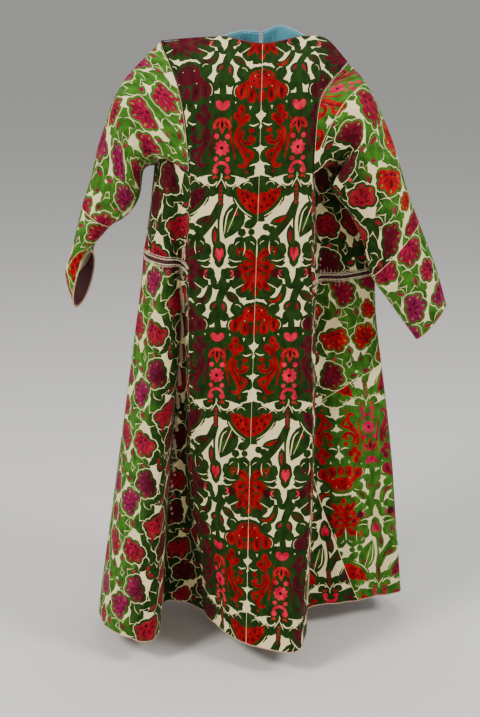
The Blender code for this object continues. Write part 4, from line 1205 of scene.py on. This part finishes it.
def make_sides():
    for side in ("left", "right"):
        chart, last = CHARTS[side], LAST[side]
        level_of = gather_of(side)

        def above(u, level_of=level_of):
            return level_of([u])[0] - STRIP_HALF

        def below(u, level_of=level_of):
            return level_of([u])[0] + STRIP_HALF

        top = [(0, UNDERARM), (last, UNDERARM), *stretch(last, 0, above)]
        # The side tops take the darker pile copy throughout: painted shade under the arms.
        velvet_piece(side + "_side_top", chart, top, SIDE_TOP_SHIFT[side], True, ("deep", "deep"),
                     spray=True)
        if side == "left":
            skirt = [*stretch(0, last, below), (last, HEM), (0, HEM)]
            # Painted sheen: the left skirt goes from the darker pile copy to the lighter one across it.
            velvet_piece("left_skirt", chart, skirt, (-10, 621), True, ("deep", "lit"),
                         painted_sheen_span=(-85, -25), spray=True)
        else:
            make_right_skirt(chart, last, below)
        us = np.linspace(0.1, last - 0.1, 160)
        band = np.array([chart.at(us, level_of(us) + offset * STRIP_HALF, -1.0 * MM)
                         for offset in (-1.15, -0.4, 0.4, 1.15)])
        grid_piece(side + "_gather_strip", side + "_gather_strip_cloth", band, 1.2 * MM, GATHER_SILK)
        for name, offset in (("upper", -1), ("lower", 1)):
            cord = f"{side}_piping_{name}"
            for extra, radius in ((1.0, 1.3), (1.75, 0.7)):
                line = chart.at(us, level_of(us) + extra * offset * STRIP_HALF, (0.7 + radius) * MM)
                cord_piece(cord + ("" if extra == 1 else "_stitching"), line, radius * MM, PIPING,
                           cord)


def make_right_skirt(chart, last, below):
    upper = [*stretch(0, last, below), *stretch(last, 0, lambda u: piecing_level([u])[0])]
    count = len(stretch(0, last, below))
    # Painted sheen: the right skirt pieces go from the darker pile copy to the lighter one with scarlet flowers
    # across them.
    velvet_piece("right_skirt_top", chart, upper, (-71, 413), True, ("deep", "red"),
                 [(count, 2 * count - 1)], painted_sheen_span=(-165, -80), spray=True)
    gore_line = [(gore_edge(v), float(v)) for v in np.linspace(HEM, GORE_LEVELS[0], 20)]
    lower = [*stretch(0, last, lambda u: piecing_level([u])[0]), (last, HEM), *gore_line, (0, GORE_LEVELS[0])]
    velvet_piece("right_skirt", chart, lower, (-128, 1139), True, ("deep", "red"),
                 [(0, count - 1), (count + 1, count + 20)], painted_sheen_span=(-175, -95))
    gore = [(0, GORE_LEVELS[0]), *gore_line[::-1], (0, HEM)]
    velvet_piece("right_gore", chart, gore, (-250, 200), True, ("deep", "deep"), [(1, 20)])


def head_edge(u):
    away = abs(u - RING / 2)
    if away > HEAD_COLUMNS:
        return 0.0
    return HEAD_DEPTH + (HEAD_TIP - HEAD_DEPTH) * away / HEAD_COLUMNS


def make_sleeves():
    left, right = CHARTS["left_sleeve"], CHARTS["right_sleeve"]
    # The sleeves take the lighter pile copies, painted sheen; the right sleeve's head and body go from the
    # lighter copy with scarlet flowers to the darker one, painted shade, across them.
    velvet_piece("left_sleeve", left, rectangle(0, RING, 0, 4), (-16, 299), False, ("lit", "lit"),
                 [(2, 3), (0, 1)], spray=True)
    velvet_piece("left_sleeve_end", left, rectangle(0, RING, 4, 7), (-30, 170), False, ("red", "red"),
                 [(0, 1)], spray=True)
    edge = stretch(RING / 2 - HEAD_COLUMNS, RING / 2 + HEAD_COLUMNS, head_edge)
    first, last = RING / 2 - HEAD_COLUMNS, RING / 2 + HEAD_COLUMNS
    head = [(first, 0), (last, 0), *edge[::-1]]
    velvet_piece("right_sleeve_head", right, head, (-30, -60), False, ("red", "deep"),
                 [(0, 1), (2, 26)], painted_sheen_span=(-60, 30))
    body = [(0, 0), (first, 0), *edge, (last, 0), (RING, 0), (RING, 5), (0, 5)]
    velvet_piece("right_sleeve", right, body, (-9, 177), False, ("red", "deep"), [(0, 1), (2, 26), (29, 30)],
                 painted_sheen_span=(-35, 25), spray=True)
    velvet_piece("right_sleeve_end", right, rectangle(0, RING, 5, 7), (5, 92), False, ("lit", "lit"),
                 [(0, 1)], spray=True)
    for side, chart in (("left", left), ("right", right)):
        ring_us = np.linspace(0, RING, 120, endpoint=False)
        cuff = chart.at(ring_us, np.full(120, 7.0), -CLOTH / 2)
        before = chart.at(ring_us, np.full(120, 6.8), -CLOTH / 2)
        cord_piece(side + "_cuff_edging", past_edge(cuff, before, 1.2 * MM), 1.5 * MM, HEM_CORD,
                   closed=True)
    us = np.linspace(0, RING, 73)
    facing = np.array([left.at(us, np.full(73, v), -(CLOTH + 0.9 * MM)) for v in np.linspace(6.2, 6.97, 9)])
    grid_piece("left_cuff_facing", "left_cuff_facing_cloth", facing, 0.8 * MM, GATHER_SILK)


def make_linings():
    for side in ("left", "right"):
        chart = CHARTS["front_" + side]
        rows = []
        for v in np.linspace(0.0, 0.9, 26):
            us = np.linspace(0.1, 4, 70)
            ripple = 0.9 * MM * shake(us * 9 + v * 3, 1.0 + v)
            lining = chart.at(us, np.full(70, v), -(CLOTH + 1.6 * MM))
            rows.append(lining + ripple[:, None] * np.array([0, 1, 0]))
        grid_piece("lining_" + side, f"lining_{side}_cloth", np.array(rows), 0.8 * MM, LINING)


def edge_run(stretches, level, clear, step):
    """Points just beyond the cloth's edge along stretches of chart, first and last station."""
    line = []
    for name, start, end in stretches:
        chart = CHARTS[name]
        us = np.linspace(start, end, 200)
        edge = chart.at(us, np.full(200, float(level)), -CLOTH / 2)
        back = chart.at(us, np.full(200, abs(level - 0.06)), -CLOTH / 2)
        way = edge - back
        for place in edge + clear * way / np.linalg.norm(way, axis=1, keepdims=True):
            if not line or np.linalg.norm(place - line[-1]) > step:
                line.append(place)
    return line


def make_edgings():
    for name, run, radius, made, slot in (
        ("neck_edging", ("back", 2, 4), 1.2 * MM, NECK_BINDING, "neck_binding"),
        ("left_neck_roll", ("front_left", 4, 2), 1.6 * MM, LINING, "lining_cotton"),
        ("right_neck_roll", ("front_right", 2, 4), 1.6 * MM, LINING, "lining_cotton"),
    ):
        cord_piece(name, edge_run((run,), 0, 1.2 * MM, 4 * MM), radius, made, "neck_edging")
    hem = edge_run((("front_left", 4, 0), ("left", 8, 0), ("back", 0, 6), ("right", 0, 6),
                    ("front_right", 0, 4)), 7, 1.4 * MM, 5 * MM)
    cord_piece("hem_edging", hem, 1.5 * MM, HEM_CORD)


# ---------------------------------------------------------------- light, floor and camera

def area_light(name, place, target, size, power, colour=(1, 1, 1)):
    data = bpy.data.lights.new(name, "AREA")
    data.shape = "DISK"
    data.size = size
    data.energy = power
    data.color = colour
    lamp = bpy.data.objects.new(name, data)
    lamp.location = place
    lamp.rotation_euler = (Vector(target) - Vector(place)).to_track_quat("-Z", "Y").to_euler()
    bpy.context.scene.collection.objects.link(lamp)


def make_studio():
    bpy.ops.mesh.primitive_plane_add(size=240, location=(0, 0, -1.31))
    floor = bpy.context.object
    floor.name = "floor"
    made, tree, shader = nodes_of("plain_pale_floor")
    shader.inputs["Base Color"].default_value = (0.8, 0.79, 0.77, 1)
    shader.inputs["Roughness"].default_value = 0.9
    floor.data.materials.append(made)
    world = bpy.data.worlds.new("pale_room")
    world.use_nodes = True
    world.node_tree.nodes["Background"].inputs["Color"].default_value = (0.97, 0.97, 0.95, 1)
    world.node_tree.nodes["Background"].inputs["Strength"].default_value = 0.42
    bpy.context.scene.world = world
    area_light("key", (-2.5, -1.9, 1.9), (-0.1, 0, -0.35), 1.2, 135, (1, 0.97, 0.92))
    area_light("side", (2.6, -1.3, 1.6), (0.2, 0, -0.35), 1.2, 85, (1, 0.98, 0.95))
    area_light("top", (0.2, 0.4, 2.2), (0, 0, -0.3), 1.6, 25)


def make_camera():
    data = bpy.data.cameras.new("camera")
    data.sensor_width = 36
    data.sensor_fit = "AUTO"
    data.lens = 63.57
    camera = bpy.data.objects.new("camera", data)
    camera.location = (-0.03, -2.6, 0.15)
    camera.rotation_euler = (math.radians(90 - 17.4), 0, 0)
    bpy.context.scene.collection.objects.link(camera)
    bpy.context.scene.camera = camera


make_body()
make_sides()
make_sleeves()
make_linings()
make_edgings()
make_studio()
make_camera()
